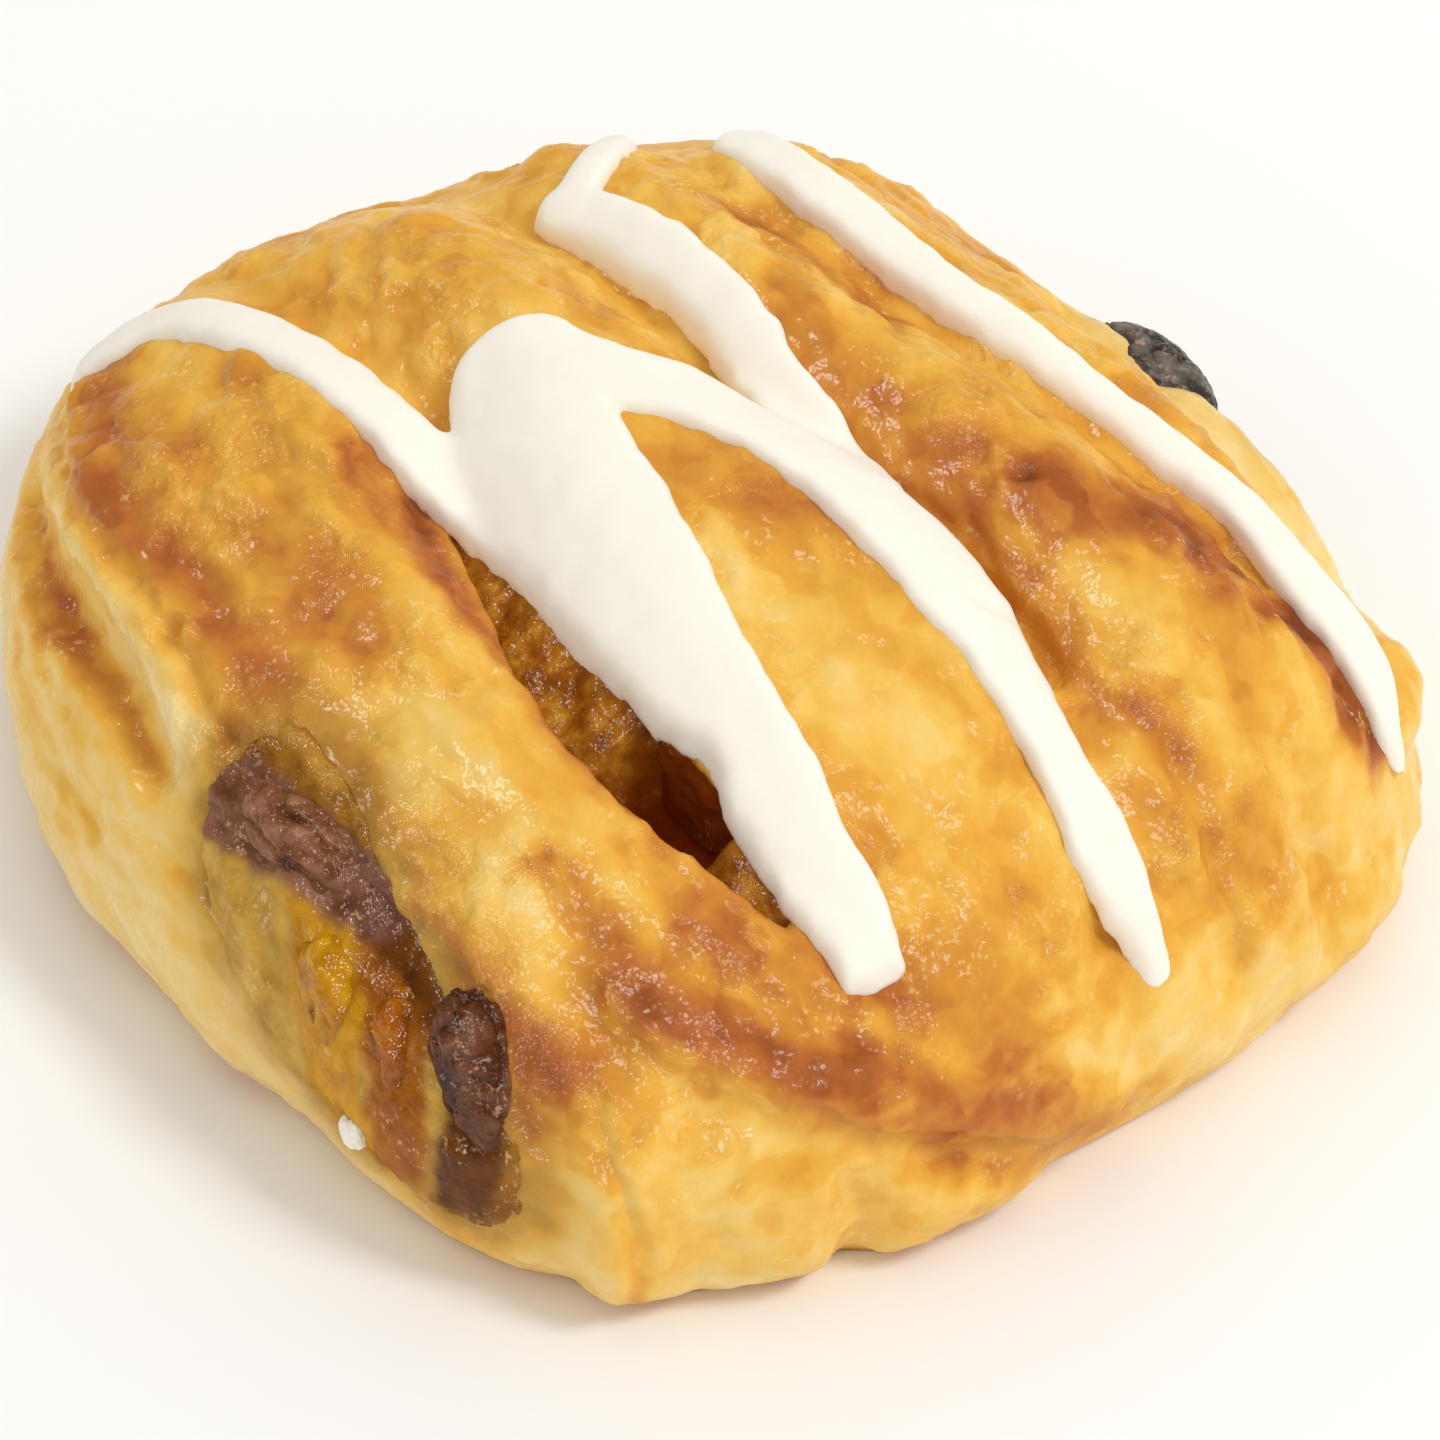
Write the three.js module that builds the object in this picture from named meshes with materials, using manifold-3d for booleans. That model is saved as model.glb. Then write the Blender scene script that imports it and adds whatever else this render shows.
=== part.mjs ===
// Apple danish: one portion cut from a long filled strip of laminated dough. The top is slashed
// crosswise, raisins and apple show in the cut faces, and white icing is drizzled across the top.
//
// Millimetres, +Z up, origin in the middle of the flat base. X runs along the slashes, from one folded
// side to the other, and Y along the strip, so the two cut faces look along -Y and +Y.

import * as THREE from "three";
import { mergeVertices } from "three/addons/utils/BufferGeometryUtils.js";
import Module from "manifold-3d";

const wasm = await Module();
wasm.setup();

const { PI, abs, atan2, cos, exp, floor, hypot, max, min, round, sin } = Math;
const DEGREE = PI / 180;

// Driving dimensions of the body
const HEIGHT = 34; // table to the highest strip
const WIDEST = 8; // height at which the sides bulge furthest
const HALF_LENGTH = 53; // nominal reach along X
const HALF_WIDTH = 47; // nominal reach along Y
const CROWN_DROP = 3; // how much lower the top is at the middle of a side
const BASE_TUCK = 0.06; // share of the radius by which the sides draw in at the table
const SIDE_POWER = 3.2; // how square the shoulder is, seen in section
const TOP_POWER = 2.2; // how flat the top is, seen in section
const FRONT = { bearing: 262, spread: 38, power: 2.3, tuck: 0.03 }; // front cut face, which slopes back more
const FIT_GAP = 0.35; // air between neighbouring pieces

// The outline seen from above: its radius every 22.5 degrees, from +X round by +Y
const OUTLINE = [
  50.8, 52.4, 55.4, 50.2, 47.3, 46.0, 52.0, 52.2, 51.8, 54.6, 52.6, 48.8, 47.6, 48.0, 54.4, 55.0,
];

// Furrows between the strips of the slashed top, each along a line of [x, y]
const FURROWS = [
  {
    line: [
      [-46, -15.5], [-30, -12.5], [-16, -12], [-7, -14.5], [10, -17], [24, -16.7], [36, -13.6], [44, -11],
    ],
    depth: 6,
    reach: 9,
  },
  {
    line: [
      [-45, 4], [-34, 5.5], [-23, 7], [-3, 9], [10, 13.6], [23, 14.4], [31, 13], [38, 10.5], [46, 8],
    ],
    depth: 5.6,
    reach: 7.8,
  },
  {
    line: [[-38, 20], [-24, 20.7], [-12, 23.7], [0, 26.7], [10, 29.6], [18, 32.7], [25, 33.4], [40, 36.2]],
    depth: 4,
    reach: 6,
  },
];
const FURROW_POWER = 1.7; // 1 cuts a plain V, higher leaves the strips rounder
const FURROW_ENDS = 0.45; // share of its depth that a furrow keeps at its ends

// Where the furrows gape: share of the furrow's length where a slash starts and ends, half its width
const SLASHES = [
  { furrow: 0, from: 0.41, to: 0.95, half: 3.5 },
  { furrow: 1, from: 0.52, to: 0.8, half: 1.2 },
  { furrow: 2, from: 0.15, to: 0.35, half: 1.2 },
  { furrow: 2, from: 0.78, to: 0.98, half: 1.9 },
];
const SLASH_FLOOR = 15.5; // height of the bottom of the cuts, inside the filling
const SLASH_STEPS = 16;

// Folds, lobes and creases of the dough, each along a line of [x, y, z] on the skin: how far to the side
// it is felt, and how far it stands out, or in where the number is negative
const FOLDS = [
  // groove between the layers left of the front mouth
  { line: [[-36, -34, 16], [-23, -39.3, 18.5], [-13.6, -40.3, 19.6], [-2, -41.6, 19.6]], reach: 3.4, rise: -2.3 },
  // pale layer above that groove
  { line: [[-27, -35.6, 21], [-22.1, -37.2, 21.8], [-11.7, -38.2, 22.9], [-1, -39.2, 22.8]], reach: 3, rise: 0.8 },
  // lower edge of the browned crust over the front face
  {
    line: [[-31.5, -33.5, 22.5], [-20.7, -36.3, 23.7], [-9.5, -36.6, 25], [6.8, -35.4, 26], [33, -32, 24]],
    reach: 4,
    rise: 0.9,
  },
  // upright corner between the front face and the folded side
  { line: [[43, -30.6, 17], [45, -31.3, 11], [45, -31, 1]], reach: 5.5, rise: 2.2 },
  // browned flap of crust over the side panel, and the step beneath it
  {
    line: [[37, -27, 25], [43, -24, 22.5], [47.6, -19, 20], [50.5, -12.6, 17], [51.7, -5, 13], [51, 4, 8]],
    reach: 4.5,
    rise: 1.1,
  },
  { line: [[45, -26, 17], [49, -20, 15], [51.5, -12.6, 12], [52.5, -5, 7.5]], reach: 3, rise: -0.9 },
  // notch between the two lobes of the side, and the second lobe
  { line: [[50.5, -16.4, 10], [51.5, -16.2, 5], [50, -16, -1]], reach: 3.6, rise: -2.6 },
  { line: [[51.6, -8, 4], [51.6, -3, 3]], reach: 7, rise: 1.4 },
  // creases at the right, where the strips run down into the side
  { line: [[42.5, 12.6, 24.6], [46.1, 14.2, 19.5], [48.8, 16.4, 13]], reach: 3, rise: -1.4 },
  { line: [[40, 27, 22], [45, 27.8, 15], [47, 27, 8]], reach: 3, rise: -1.1 },
  // pale corner at the far end of the rear cut face, the hollow under it and the lobe under that
  { line: [[37, 41, 17.5], [33, 43, 16.5]], reach: 5, rise: 2.2 },
  { line: [[45, 30, 15], [44.5, 33, 13], [43.5, 35.5, 11]], reach: 8, rise: -1.9 },
  { line: [[43.6, 35.4, 7.4], [45.4, 31.5, 7.8]], reach: 4, rise: 1.3 },
  // shoulder of the rear cut face, drawn in over the raisin
  { line: [[-7, 39.5, 25], [4, 41, 23.5], [14, 42.5, 21.5], [22, 42.5, 19.5]], reach: 6.5, rise: -2 },
  // layers of the rear cut face
  { line: [[-38, 33, 16], [-26, 39, 17.5], [-16, 42, 18]], reach: 3.4, rise: -1.5 },
  { line: [[18, 46, 12.5], [27, 44, 12], [36, 39, 10]], reach: 3.2, rise: -1.3 },
  // seam of the fold along the back side
  { line: [[-50, -16, 13], [-52.5, -4, 11.5], [-51.5, 8, 12], [-48, 20, 13]], reach: 3.6, rise: -1.4 },
];

// Icing strokes, each along points of [x, y, half width]
const ICING = [
  [
    [-42.5, -26, 1.8], [-39.6, -21.3, 2], [-32, -18.5, 2.1], [-21.5, -16.4, 2.2], [-12, -15, 2.6],
    [-5, -12.6, 3.6], [3, -10.5, 4.5],
  ],
  [
    [-13.5, -6.3, 4.4], [-5, -8.9, 5.8], [5, -9.9, 5.5], [12, -10.2, 4.9], [19.5, -10.6, 3.8],
    [27, -10.3, 3], [35, -10.9, 2.7], [43.2, -10.6, 2.2],
  ],
  [
    [-14, -4.5, 3.4], [-8, -0.9, 3], [-3.2, 3.6, 3.1], [4, 6.7, 3], [13, 9, 3.7], [22, 9.8, 3.7],
    [29, 9.6, 2.6], [36, 9.7, 2.1], [42.5, 9.4, 2.2], [47.6, 10.3, 1.1],
  ],
  [[-31, 8.4, 1.9], [-22, 10.4, 2], [-14, 10.9, 1.7], [-7, 10.6, 1.6], [0, 10.2, 1.8], [9, 10.4, 2.4]],
  [
    [-33, 25.4, 2.4], [-22, 25.5, 2.1], [-12.5, 27, 1.9], [-1, 29.4, 1.6], [8.8, 32.1, 1.5],
    [18, 35.6, 1.5], [26, 36.5, 2], [32, 38, 2.2], [36.4, 38.2, 1.8], [40, 36.4, 1.2],
  ],
  [[-38.5, 17, 1.3], [-35.5, 14, 1.4], [-31, 8.6, 1.6]],
];
const ICING_RISE = 1.5; // how far the icing stands above the crust
const ICING_ROOT = 2.2; // how far its solid reaches down into the crust
const ICING_SAG = 0.7; // share of a furrow's depth that the icing follows
const ICING_END = 0.55; // share of its size at the two ends of a stroke
const ICING_AROUND = 8;

// Apple filling: a slab through the strip, open at both cut faces. Each row is a station along Y with
// the middle of the section, its half sizes and its tilt in degrees.
const FILLING = [
  { y: -60, x: 21.6, z: 16.8, wide: 18.4, tall: 5.8, tilt: -22 },
  { y: -36.5, x: 21.6, z: 16.8, wide: 18.4, tall: 5.8, tilt: -22 },
  { y: -25, x: 4, z: 14, wide: 34, tall: 8, tilt: -4 },
  { y: 0, x: 1, z: 13, wide: 38, tall: 8.4, tilt: 0 },
  { y: 24, x: 1, z: 12.6, wide: 36, tall: 7.8, tilt: 0 },
  { y: 34, x: -2, z: 13, wide: 28, tall: 7, tilt: 3 },
  { y: 41, x: -6, z: 13.6, wide: 20, tall: 6.6, tilt: 6 },
  { y: 60, x: -6, z: 13.6, wide: 20, tall: 6.6, tilt: 6 },
];
const FILLING_INSET = 0.9; // how far the filling stays inside the cut faces
const FILLING_REACH = 60; // how far its solid runs along Y before it is trimmed to the body
const FILLING_SQUARE = 2.6; // 2 is an ellipse, higher is squarer
const FILLING_AROUND = 28;
const FILLING_STATIONS = 18;
const LUMP = { height: 0.7, size: 9 }; // apple showing through as soft bumps

// Raisins and diced apple at the cut faces: centre, half sizes, turn about Z and tilt about Y in degrees
const RAISINS = {
  raisin_upper: { at: [11.8, -37, 21.2], half: [7.9, 3.8, 3.6], turn: 12, tilt: -2 },
  raisin_lower: { at: [33.8, -35.9, 16.4], half: [3.5, 3.7, 7.2], turn: 8, tilt: -26 },
  raisin_rear: { at: [-2.8, 42.6, 15.6], half: [6.6, 3.8, 4], turn: 6, tilt: 4 },
};
const APPLE_DICE = {
  apple_amber: { at: [22.4, -39.5, 14.4], half: [3.4, 3.7, 6.8], turn: 0, tilt: -27 },
  apple_brown: { at: [28.2, -38, 14.8], half: [2.5, 3.5, 6.2], turn: 0, tilt: -27 },
  apple_rear: { at: [-15, 42, 11.6], half: [5.2, 3.4, 3.9], turn: -6, tilt: -10 },
};
const RAISIN_FORM = { squareness: 2.2, wrinkles: 0.06 };
const DICE_FORM = { squareness: 3.4, wrinkles: 0.02 };
const WRINKLE_COUNT = 5;
const PIECE_GRID = [14, 9]; // facets round and down a small piece

// The body's grid: rings from the middle of the top, over the shoulder, down the side and in under the base
const SECTORS = 84;
const TOP_RINGS = 16;
const SHOULDER_RINGS = 10;
const LOWER_RINGS = 4;
const BASE_RINGS = 2;
const RINGS = TOP_RINGS + SHOULDER_RINGS + LOWER_RINGS + BASE_RINGS;
const SHOULDER = 0.86; // share of the radius where the rings change from even in plan to even in height

// Catmull-Rom between b and c
function blend(a, b, c, d, f) {
  const square = 2 * a - 5 * b + 4 * c - d;
  const cube = 3 * b - a - 3 * c + d;
  return 0.5 * (2 * b + (c - a) * f + square * f ** 2 + cube * f ** 3);
}

// Points along a smooth curve through rows of numbers, `per` points to a span
function smoothLine(rows, per) {
  const first = rows[0].map((v, i) => 2 * v - rows[1][i]);
  const last = rows.at(-1).map((v, i) => 2 * v - rows.at(-2)[i]);
  const all = [first, ...rows, last];
  const made = [];
  for (let k = 1; k < all.length - 2; k++)
    for (let step = 0; step < per; step++) {
      const [a, b, c, d] = all.slice(k - 1, k + 3);
      made.push(b.map((_, i) => blend(a[i], b[i], c[i], d[i], step / per)));
    }
  made.push(rows.at(-1));
  return made;
}

function outlineRadius(bearing) {
  const count = OUTLINE.length;
  const place = (bearing / (2 * PI) + 1) * count;
  const i = floor(place);
  const at = (k) => OUTLINE[(i + k + count) % count];
  return blend(at(-1), at(0), at(1), at(2), place - i);
}

// How much the section of the side belongs to the front cut face, 1 in its middle
function frontShare(bearing) {
  const degrees = (bearing / DEGREE + 360) % 360;
  return exp(-(((degrees - FRONT.bearing) / FRONT.spread) ** 2));
}

function sidePower(bearing) {
  return SIDE_POWER - (SIDE_POWER - FRONT.power) * frontShare(bearing);
}

function tuck(bearing) {
  return BASE_TUCK + FRONT.tuck * frontShare(bearing);
}

// Distance from a point to a line of points, and the share of the line's length at the nearest place
function nearest(line, p) {
  let best = { distance: Infinity, share: 0 };
  const span = new THREE.Line3();
  const foot = new THREE.Vector3();
  for (let k = 0; k < line.length - 1; k++) {
    span.set(line[k], line[k + 1]);
    const t = span.closestPointToPointParameter(p, true);
    const distance = span.at(t, foot).distanceTo(p);
    if (distance < best.distance) best = { distance, share: (k + t) / (line.length - 1) };
  }
  return best;
}

function vectors(rows, per) {
  return smoothLine(rows, per).map(([x, y, z = 0]) => new THREE.Vector3(x, y, z));
}

const furrowLines = FURROWS.map((furrow) => vectors(furrow.line, 5));
const foldLines = FOLDS.map((fold) => vectors(fold.line, 3));

// How far the furrows pull the top down: steep in the furrow, rounded towards the strips
function furrowDrop(x, y) {
  const place = new THREE.Vector3(x, y, 0);
  let drop = 0;
  FURROWS.forEach(({ depth, reach }, i) => {
    const { distance, share } = nearest(furrowLines[i], place);
    const profile = max(0, 1 - distance / reach) ** FURROW_POWER;
    const fade = FURROW_ENDS + (1 - FURROW_ENDS) * sin(PI * share);
    drop = max(drop, depth * profile * fade);
  });
  return drop;
}

function crown(x, y) {
  return HEIGHT - CROWN_DROP * ((x / HALF_LENGTH) ** 2 + (y / HALF_WIDTH) ** 2);
}

// Height of the skin above a point of the plan; furrows counts how much of the furrows it follows
function skinHeight(x, y, furrows) {
  const bearing = atan2(y, x);
  const reach = min(1, hypot(x, y) / outlineRadius(bearing));
  const rise = (1 - reach ** sidePower(bearing)) ** (1 / TOP_POWER);
  return WIDEST + rise * (crown(x, y) - furrows * furrowDrop(x, y) - WIDEST);
}

// Folds and creases push the skin along its outward direction
function foldPush(p) {
  let push = 0;
  FOLDS.forEach(({ reach, rise }, i) => {
    const { distance } = nearest(foldLines[i], p);
    if (distance < reach) push += rise * (1 - (distance / reach) ** 2) ** 2;
  });
  return push;
}

function outwardAt(p) {
  const upward = max(0, p.z - WIDEST) / (HEIGHT - WIDEST) ** 2;
  return new THREE.Vector3(p.x / HALF_LENGTH ** 2, p.y / HALF_WIDTH ** 2, upward).normalize();
}

// A point above the widest level, from its share of the radius and of the height
function upperPoint(bearing, reach, rise) {
  const r = reach * outlineRadius(bearing);
  const x = r * cos(bearing);
  const y = r * sin(bearing);
  const full = crown(x, y) - furrowDrop(x, y);
  return new THREE.Vector3(x, y, WIDEST + rise * (full - WIDEST));
}

// A point below it, or under the base where inward falls from 1 to 0
function lowerPoint(bearing, down, inward) {
  const r = outlineRadius(bearing) * (1 - tuck(bearing) * down ** 2) * inward;
  return new THREE.Vector3(r * cos(bearing), r * sin(bearing), WIDEST * (1 - down));
}

function ringPoint(ring, bearing) {
  const power = sidePower(bearing);
  if (ring <= TOP_RINGS) {
    const reach = (SHOULDER * ring) / TOP_RINGS;
    return upperPoint(bearing, reach, (1 - reach ** power) ** (1 / TOP_POWER));
  }
  const overShoulder = ring - TOP_RINGS;
  if (overShoulder <= SHOULDER_RINGS) {
    const start = (1 - SHOULDER ** power) ** (1 / TOP_POWER);
    const rise = start * (1 - overShoulder / SHOULDER_RINGS);
    return upperPoint(bearing, (1 - rise ** TOP_POWER) ** (1 / power), rise);
  }
  const down = min(1, (overShoulder - SHOULDER_RINGS) / LOWER_RINGS);
  return lowerPoint(bearing, down, min(1, (RINGS - ring) / BASE_RINGS));
}

// A sphere's grid laid over the skin; inset draws the sides in, and coarser thins the grid
function bodyGeometry(inset = 0, coarser = 1) {
  const sectors = SECTORS / coarser;
  const geometry = new THREE.SphereGeometry(1, sectors, RINGS / coarser);
  const { position, uv } = geometry.attributes;
  for (let i = 0; i < position.count; i++) {
    const ring = round((1 - uv.getY(i)) * RINGS);
    const bearing = (2 * PI * (round(uv.getX(i) * sectors) % sectors)) / sectors;
    const p = ringPoint(ring, bearing);
    const z = p.z;
    p.addScaledVector(outwardAt(p), foldPush(p));
    const shrink = 1 - inset / outlineRadius(bearing);
    position.setXYZ(i, p.x * shrink, p.y * shrink, z > 0 ? p.z : 0);
  }
  return geometry;
}

// Closed geometry as a solid for joining and cutting
function solid(geometry) {
  const plain = new THREE.BufferGeometry();
  plain.setAttribute("position", geometry.attributes.position);
  plain.setIndex(geometry.index);
  const merged = mergeVertices(plain);
  const mesh = new wasm.Mesh({
    numProp: 3,
    vertProperties: new Float32Array(merged.attributes.position.array),
    triVerts: withoutCollapsed(merged.index.array),
  });
  return new wasm.Manifold(mesh);
}

// Triangles whose corners merged, such as at a sphere's poles, are left out
function withoutCollapsed(index) {
  const kept = [];
  for (let i = 0; i < index.length; i += 3) {
    const [a, b, c] = index.slice(i, i + 3);
    if (a !== b && b !== c && a !== c) kept.push(a, b, c);
  }
  return new Uint32Array(kept);
}

// A cut solid back as geometry: its main body, without loose scraps or sealed hollows
function geometryOf(made) {
  const main = made.decompose().sort((a, b) => b.volume() - a.volume())[0];
  const mesh = main.getMesh();
  const geometry = new THREE.BufferGeometry();
  geometry.setAttribute("position", new THREE.BufferAttribute(mesh.vertProperties, mesh.numProp));
  geometry.setIndex(new THREE.BufferAttribute(mesh.triVerts, 1));
  geometry.computeVertexNormals();
  return geometry;
}

// The filling's section at any place along the strip
function fillingSection(y) {
  let k = 0;
  while (k < FILLING.length - 2 && y > FILLING[k + 1].y) k++;
  const [a, b] = [FILLING[k], FILLING[k + 1]];
  const f = THREE.MathUtils.smoothstep(y, a.y, b.y);
  return Object.fromEntries(Object.keys(a).map((name) => [name, a[name] + (b[name] - a[name]) * f]));
}

// Soft bumps the size of diced apple
function lump(x, y, z) {
  const wave = (2 * PI) / LUMP.size;
  return LUMP.height * sin(wave * x + 1.3 * sin(0.6 * wave * y)) * sin(wave * y + 0.8) * cos(0.7 * wave * z);
}

function fillingGeometry(grow) {
  const geometry = new THREE.CylinderGeometry(1, 1, 2, FILLING_AROUND, FILLING_STATIONS);
  const { position } = geometry.attributes;
  for (let i = 0; i < position.count; i++) {
    const [across, along, upward] = [position.getX(i), position.getY(i), position.getZ(i)];
    // stations lie closer together in the middle than past the cut faces
    const y = FILLING_REACH * (0.72 * along + 0.28 * along ** 3);
    const section = fillingSection(y);
    const squared = (abs(across) ** FILLING_SQUARE + abs(upward) ** FILLING_SQUARE) ** (1 / FILLING_SQUARE);
    const swell = squared > 0 ? hypot(across, upward) / squared : 0;
    const u = across * swell * (section.wide + grow);
    const w = upward * swell * (section.tall + grow);
    const tilt = section.tilt * DEGREE;
    const x = section.x + u * cos(tilt) - w * sin(tilt);
    const z = section.z + u * sin(tilt) + w * cos(tilt);
    position.setXYZ(i, x, y, z + max(0, upward) * lump(x, y, z));
  }
  return geometry;
}

// A slash: a slim lens along part of a furrow, cut straight down
function slashGeometry({ furrow, from, to, half }) {
  const line = furrowLines[furrow];
  const left = [];
  const right = [];
  for (let k = 0; k <= SLASH_STEPS; k++) {
    const place = (from + ((to - from) * k) / SLASH_STEPS) * (line.length - 1);
    const i = min(floor(place), line.length - 2);
    const middle = line[i].clone().lerp(line[i + 1], place - i);
    const along = line[i + 1].clone().sub(line[i]).normalize();
    const width = half * max(0.02, sin((PI * k) / SLASH_STEPS)) ** 0.7;
    left.push(new THREE.Vector2(middle.x - along.y * width, middle.y + along.x * width));
    right.push(new THREE.Vector2(middle.x + along.y * width, middle.y - along.x * width));
  }
  const lens = new THREE.Shape([...right, ...left.reverse()]);
  const geometry = new THREE.ExtrudeGeometry(lens, { depth: HEIGHT, bevelEnabled: false });
  return geometry.translate(0, 0, SLASH_FLOOR);
}

// A stroke of icing: a rounded bead that follows the crust and half bridges the furrows
function icingGeometry(points) {
  const rows = smoothLine(points, 2);
  const last = rows.length - 1;
  const geometry = new THREE.CylinderGeometry(1, 1, 1, ICING_AROUND, last);
  const { position } = geometry.attributes;
  for (let i = 0; i < position.count; i++) {
    const k = round((0.5 - position.getY(i)) * last);
    const [x, y, half] = rows[k];
    const [beforeX, beforeY] = rows[max(0, k - 1)];
    const [afterX, afterY] = rows[min(last, k + 1)];
    const along = new THREE.Vector2(afterX - beforeX, afterY - beforeY).normalize();
    const size = k === 0 || k === last ? ICING_END : 1;
    const across = position.getX(i) * half * size;
    const placeX = x - along.y * across;
    const placeY = y + along.x * across;
    const upward = position.getZ(i);
    const height = upward * (upward > 0 ? ICING_RISE * size : ICING_ROOT);
    position.setXYZ(i, placeX, placeY, skinHeight(placeX, placeY, ICING_SAG) + height);
  }
  return geometry;
}

// A small piece: a sphere pressed towards a block, with lengthwise wrinkles
function pieceGeometry({ at, half, turn, tilt }, { squareness, wrinkles }, grow) {
  const geometry = new THREE.SphereGeometry(1, ...PIECE_GRID);
  const { position } = geometry.attributes;
  const p = new THREE.Vector3();
  const stretch = new THREE.Vector3(...half).addScalar(grow);
  for (let i = 0; i < position.count; i++) {
    p.fromBufferAttribute(position, i);
    const { x, y, z } = p;
    const block = (abs(x) ** squareness + abs(y) ** squareness + abs(z) ** squareness) ** (-1 / squareness);
    const ripple = 1 + wrinkles * sin(WRINKLE_COUNT * atan2(y, x) + 2 * z) * (1 - z * z);
    p.multiplyScalar(block * ripple).multiply(stretch);
    position.setXYZ(i, p.x, p.y, p.z);
  }
  geometry.rotateY(tilt * DEGREE);
  geometry.rotateZ(turn * DEGREE);
  return geometry.translate(...at);
}

const finishes = {
  crust: new THREE.MeshStandardMaterial({ color: 0xe0a64c, roughness: 0.42, metalness: 0 }),
  filling: new THREE.MeshStandardMaterial({ color: 0x8d5922, roughness: 0.3, metalness: 0 }),
  raisin: new THREE.MeshStandardMaterial({ color: 0x3d2a26, roughness: 0.45, metalness: 0 }),
  apple: new THREE.MeshStandardMaterial({ color: 0xb8831d, roughness: 0.25, metalness: 0 }),
};

function listed(group, form, finish) {
  return Object.entries(group).map(([name, spec]) => ({ name, spec, form, finish }));
}

const pieces = [
  ...listed(RAISINS, RAISIN_FORM, finishes.raisin),
  ...listed(APPLE_DICE, DICE_FORM, finishes.apple),
];
const pockets = pieces.map(({ spec, form }) => solid(pieceGeometry(spec, form, FIT_GAP)));

// The filling is trimmed to the body, and the body hollowed for it, slashed and iced
let filling = solid(fillingGeometry(0)).intersect(solid(bodyGeometry(FILLING_INSET, 2)));
let pastry = solid(bodyGeometry()).subtract(solid(fillingGeometry(FIT_GAP)));
for (const slash of SLASHES) pastry = pastry.subtract(solid(slashGeometry(slash)));
for (const stroke of ICING) pastry = pastry.add(solid(icingGeometry(stroke)));
for (const pocket of pockets) {
  filling = filling.subtract(pocket);
  pastry = pastry.subtract(pocket);
}

function named(name, made, finish) {
  const mesh = new THREE.Mesh(geometryOf(made), finish);
  mesh.name = name;
  return mesh;
}

const danish = new THREE.Group();
danish.add(named("pastry", pastry, finishes.crust));
danish.add(named("filling", filling, finishes.filling));

// A piece that touches another is cut clear of the ones before it
pieces.forEach(({ name, spec, form, finish }, i) => {
  let piece = solid(pieceGeometry(spec, form, 0));
  for (const earlier of pockets.slice(0, i)) piece = piece.subtract(earlier);
  danish.add(named(name, piece, finish));
});

export default danish;
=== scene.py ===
import math

import bpy
import numpy as np
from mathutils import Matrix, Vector, kdtree, noise


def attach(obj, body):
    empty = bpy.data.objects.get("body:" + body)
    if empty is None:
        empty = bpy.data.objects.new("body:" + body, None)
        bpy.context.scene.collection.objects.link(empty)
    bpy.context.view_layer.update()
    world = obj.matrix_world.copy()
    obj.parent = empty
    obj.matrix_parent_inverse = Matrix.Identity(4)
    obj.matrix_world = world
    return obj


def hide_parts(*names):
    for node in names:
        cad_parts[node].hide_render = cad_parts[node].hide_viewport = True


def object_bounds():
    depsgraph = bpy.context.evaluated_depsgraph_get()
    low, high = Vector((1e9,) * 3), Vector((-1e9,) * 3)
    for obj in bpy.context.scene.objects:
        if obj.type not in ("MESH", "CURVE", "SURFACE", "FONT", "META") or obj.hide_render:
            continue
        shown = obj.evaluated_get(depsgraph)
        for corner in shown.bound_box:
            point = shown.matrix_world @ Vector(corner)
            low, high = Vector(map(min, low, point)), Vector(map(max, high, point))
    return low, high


# Apple danish: a portion of a slashed pastry strip with apple and raisin filling and white icing.
# Shapes are worked out in millimetres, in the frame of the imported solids, and become metres in makeObject.

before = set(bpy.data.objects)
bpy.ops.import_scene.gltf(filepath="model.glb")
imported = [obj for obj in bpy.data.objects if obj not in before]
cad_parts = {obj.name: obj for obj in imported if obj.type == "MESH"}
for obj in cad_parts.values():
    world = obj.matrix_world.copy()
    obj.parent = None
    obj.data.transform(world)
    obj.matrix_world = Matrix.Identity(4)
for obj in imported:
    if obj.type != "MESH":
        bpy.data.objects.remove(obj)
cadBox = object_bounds()
scene = bpy.context.scene
mm = 0.001

# How fine the meshes are, in mm.
detail = {"crust": 0.42, "filling": 0.5, "icing": 0.34, "mostTriangles": 196000}


# small tools

def toLinear(hexColour):
    channels = [int(hexColour[i:i + 2], 16) / 255 for i in (1, 3, 5)]
    return tuple(c / 12.92 if c <= 0.04045 else ((c + 0.055) / 1.055) ** 2.4 for c in channels) + (1.0,)


def smoothStep(low, high, x):
    t = np.clip((x - low) / (high - low), 0, 1)
    return t * t * (3 - 2 * t)


def curveBetween(a, b, c, d, f):
    # Catmull-Rom: the place a share f of the way from b to c
    square = 2 * a - 5 * b + 4 * c - d
    cube = 3 * b - a - 3 * c + d
    return 0.5 * (2 * b + (c - a) * f + (square * f ** 2 + cube * f ** 3))


def smoothLine(rows, per):
    # a curve through rows of numbers, `per` points to a span
    p = np.array(rows, float)
    p = np.vstack([2 * p[0] - p[1], p, 2 * p[-1] - p[-2]])
    made = []
    for k in range(1, len(p) - 2):
        made += [curveBetween(*p[k - 1:k + 3], f) for f in np.arange(per) / per]
    made.append(p[-2])
    return np.array(made)


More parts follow.
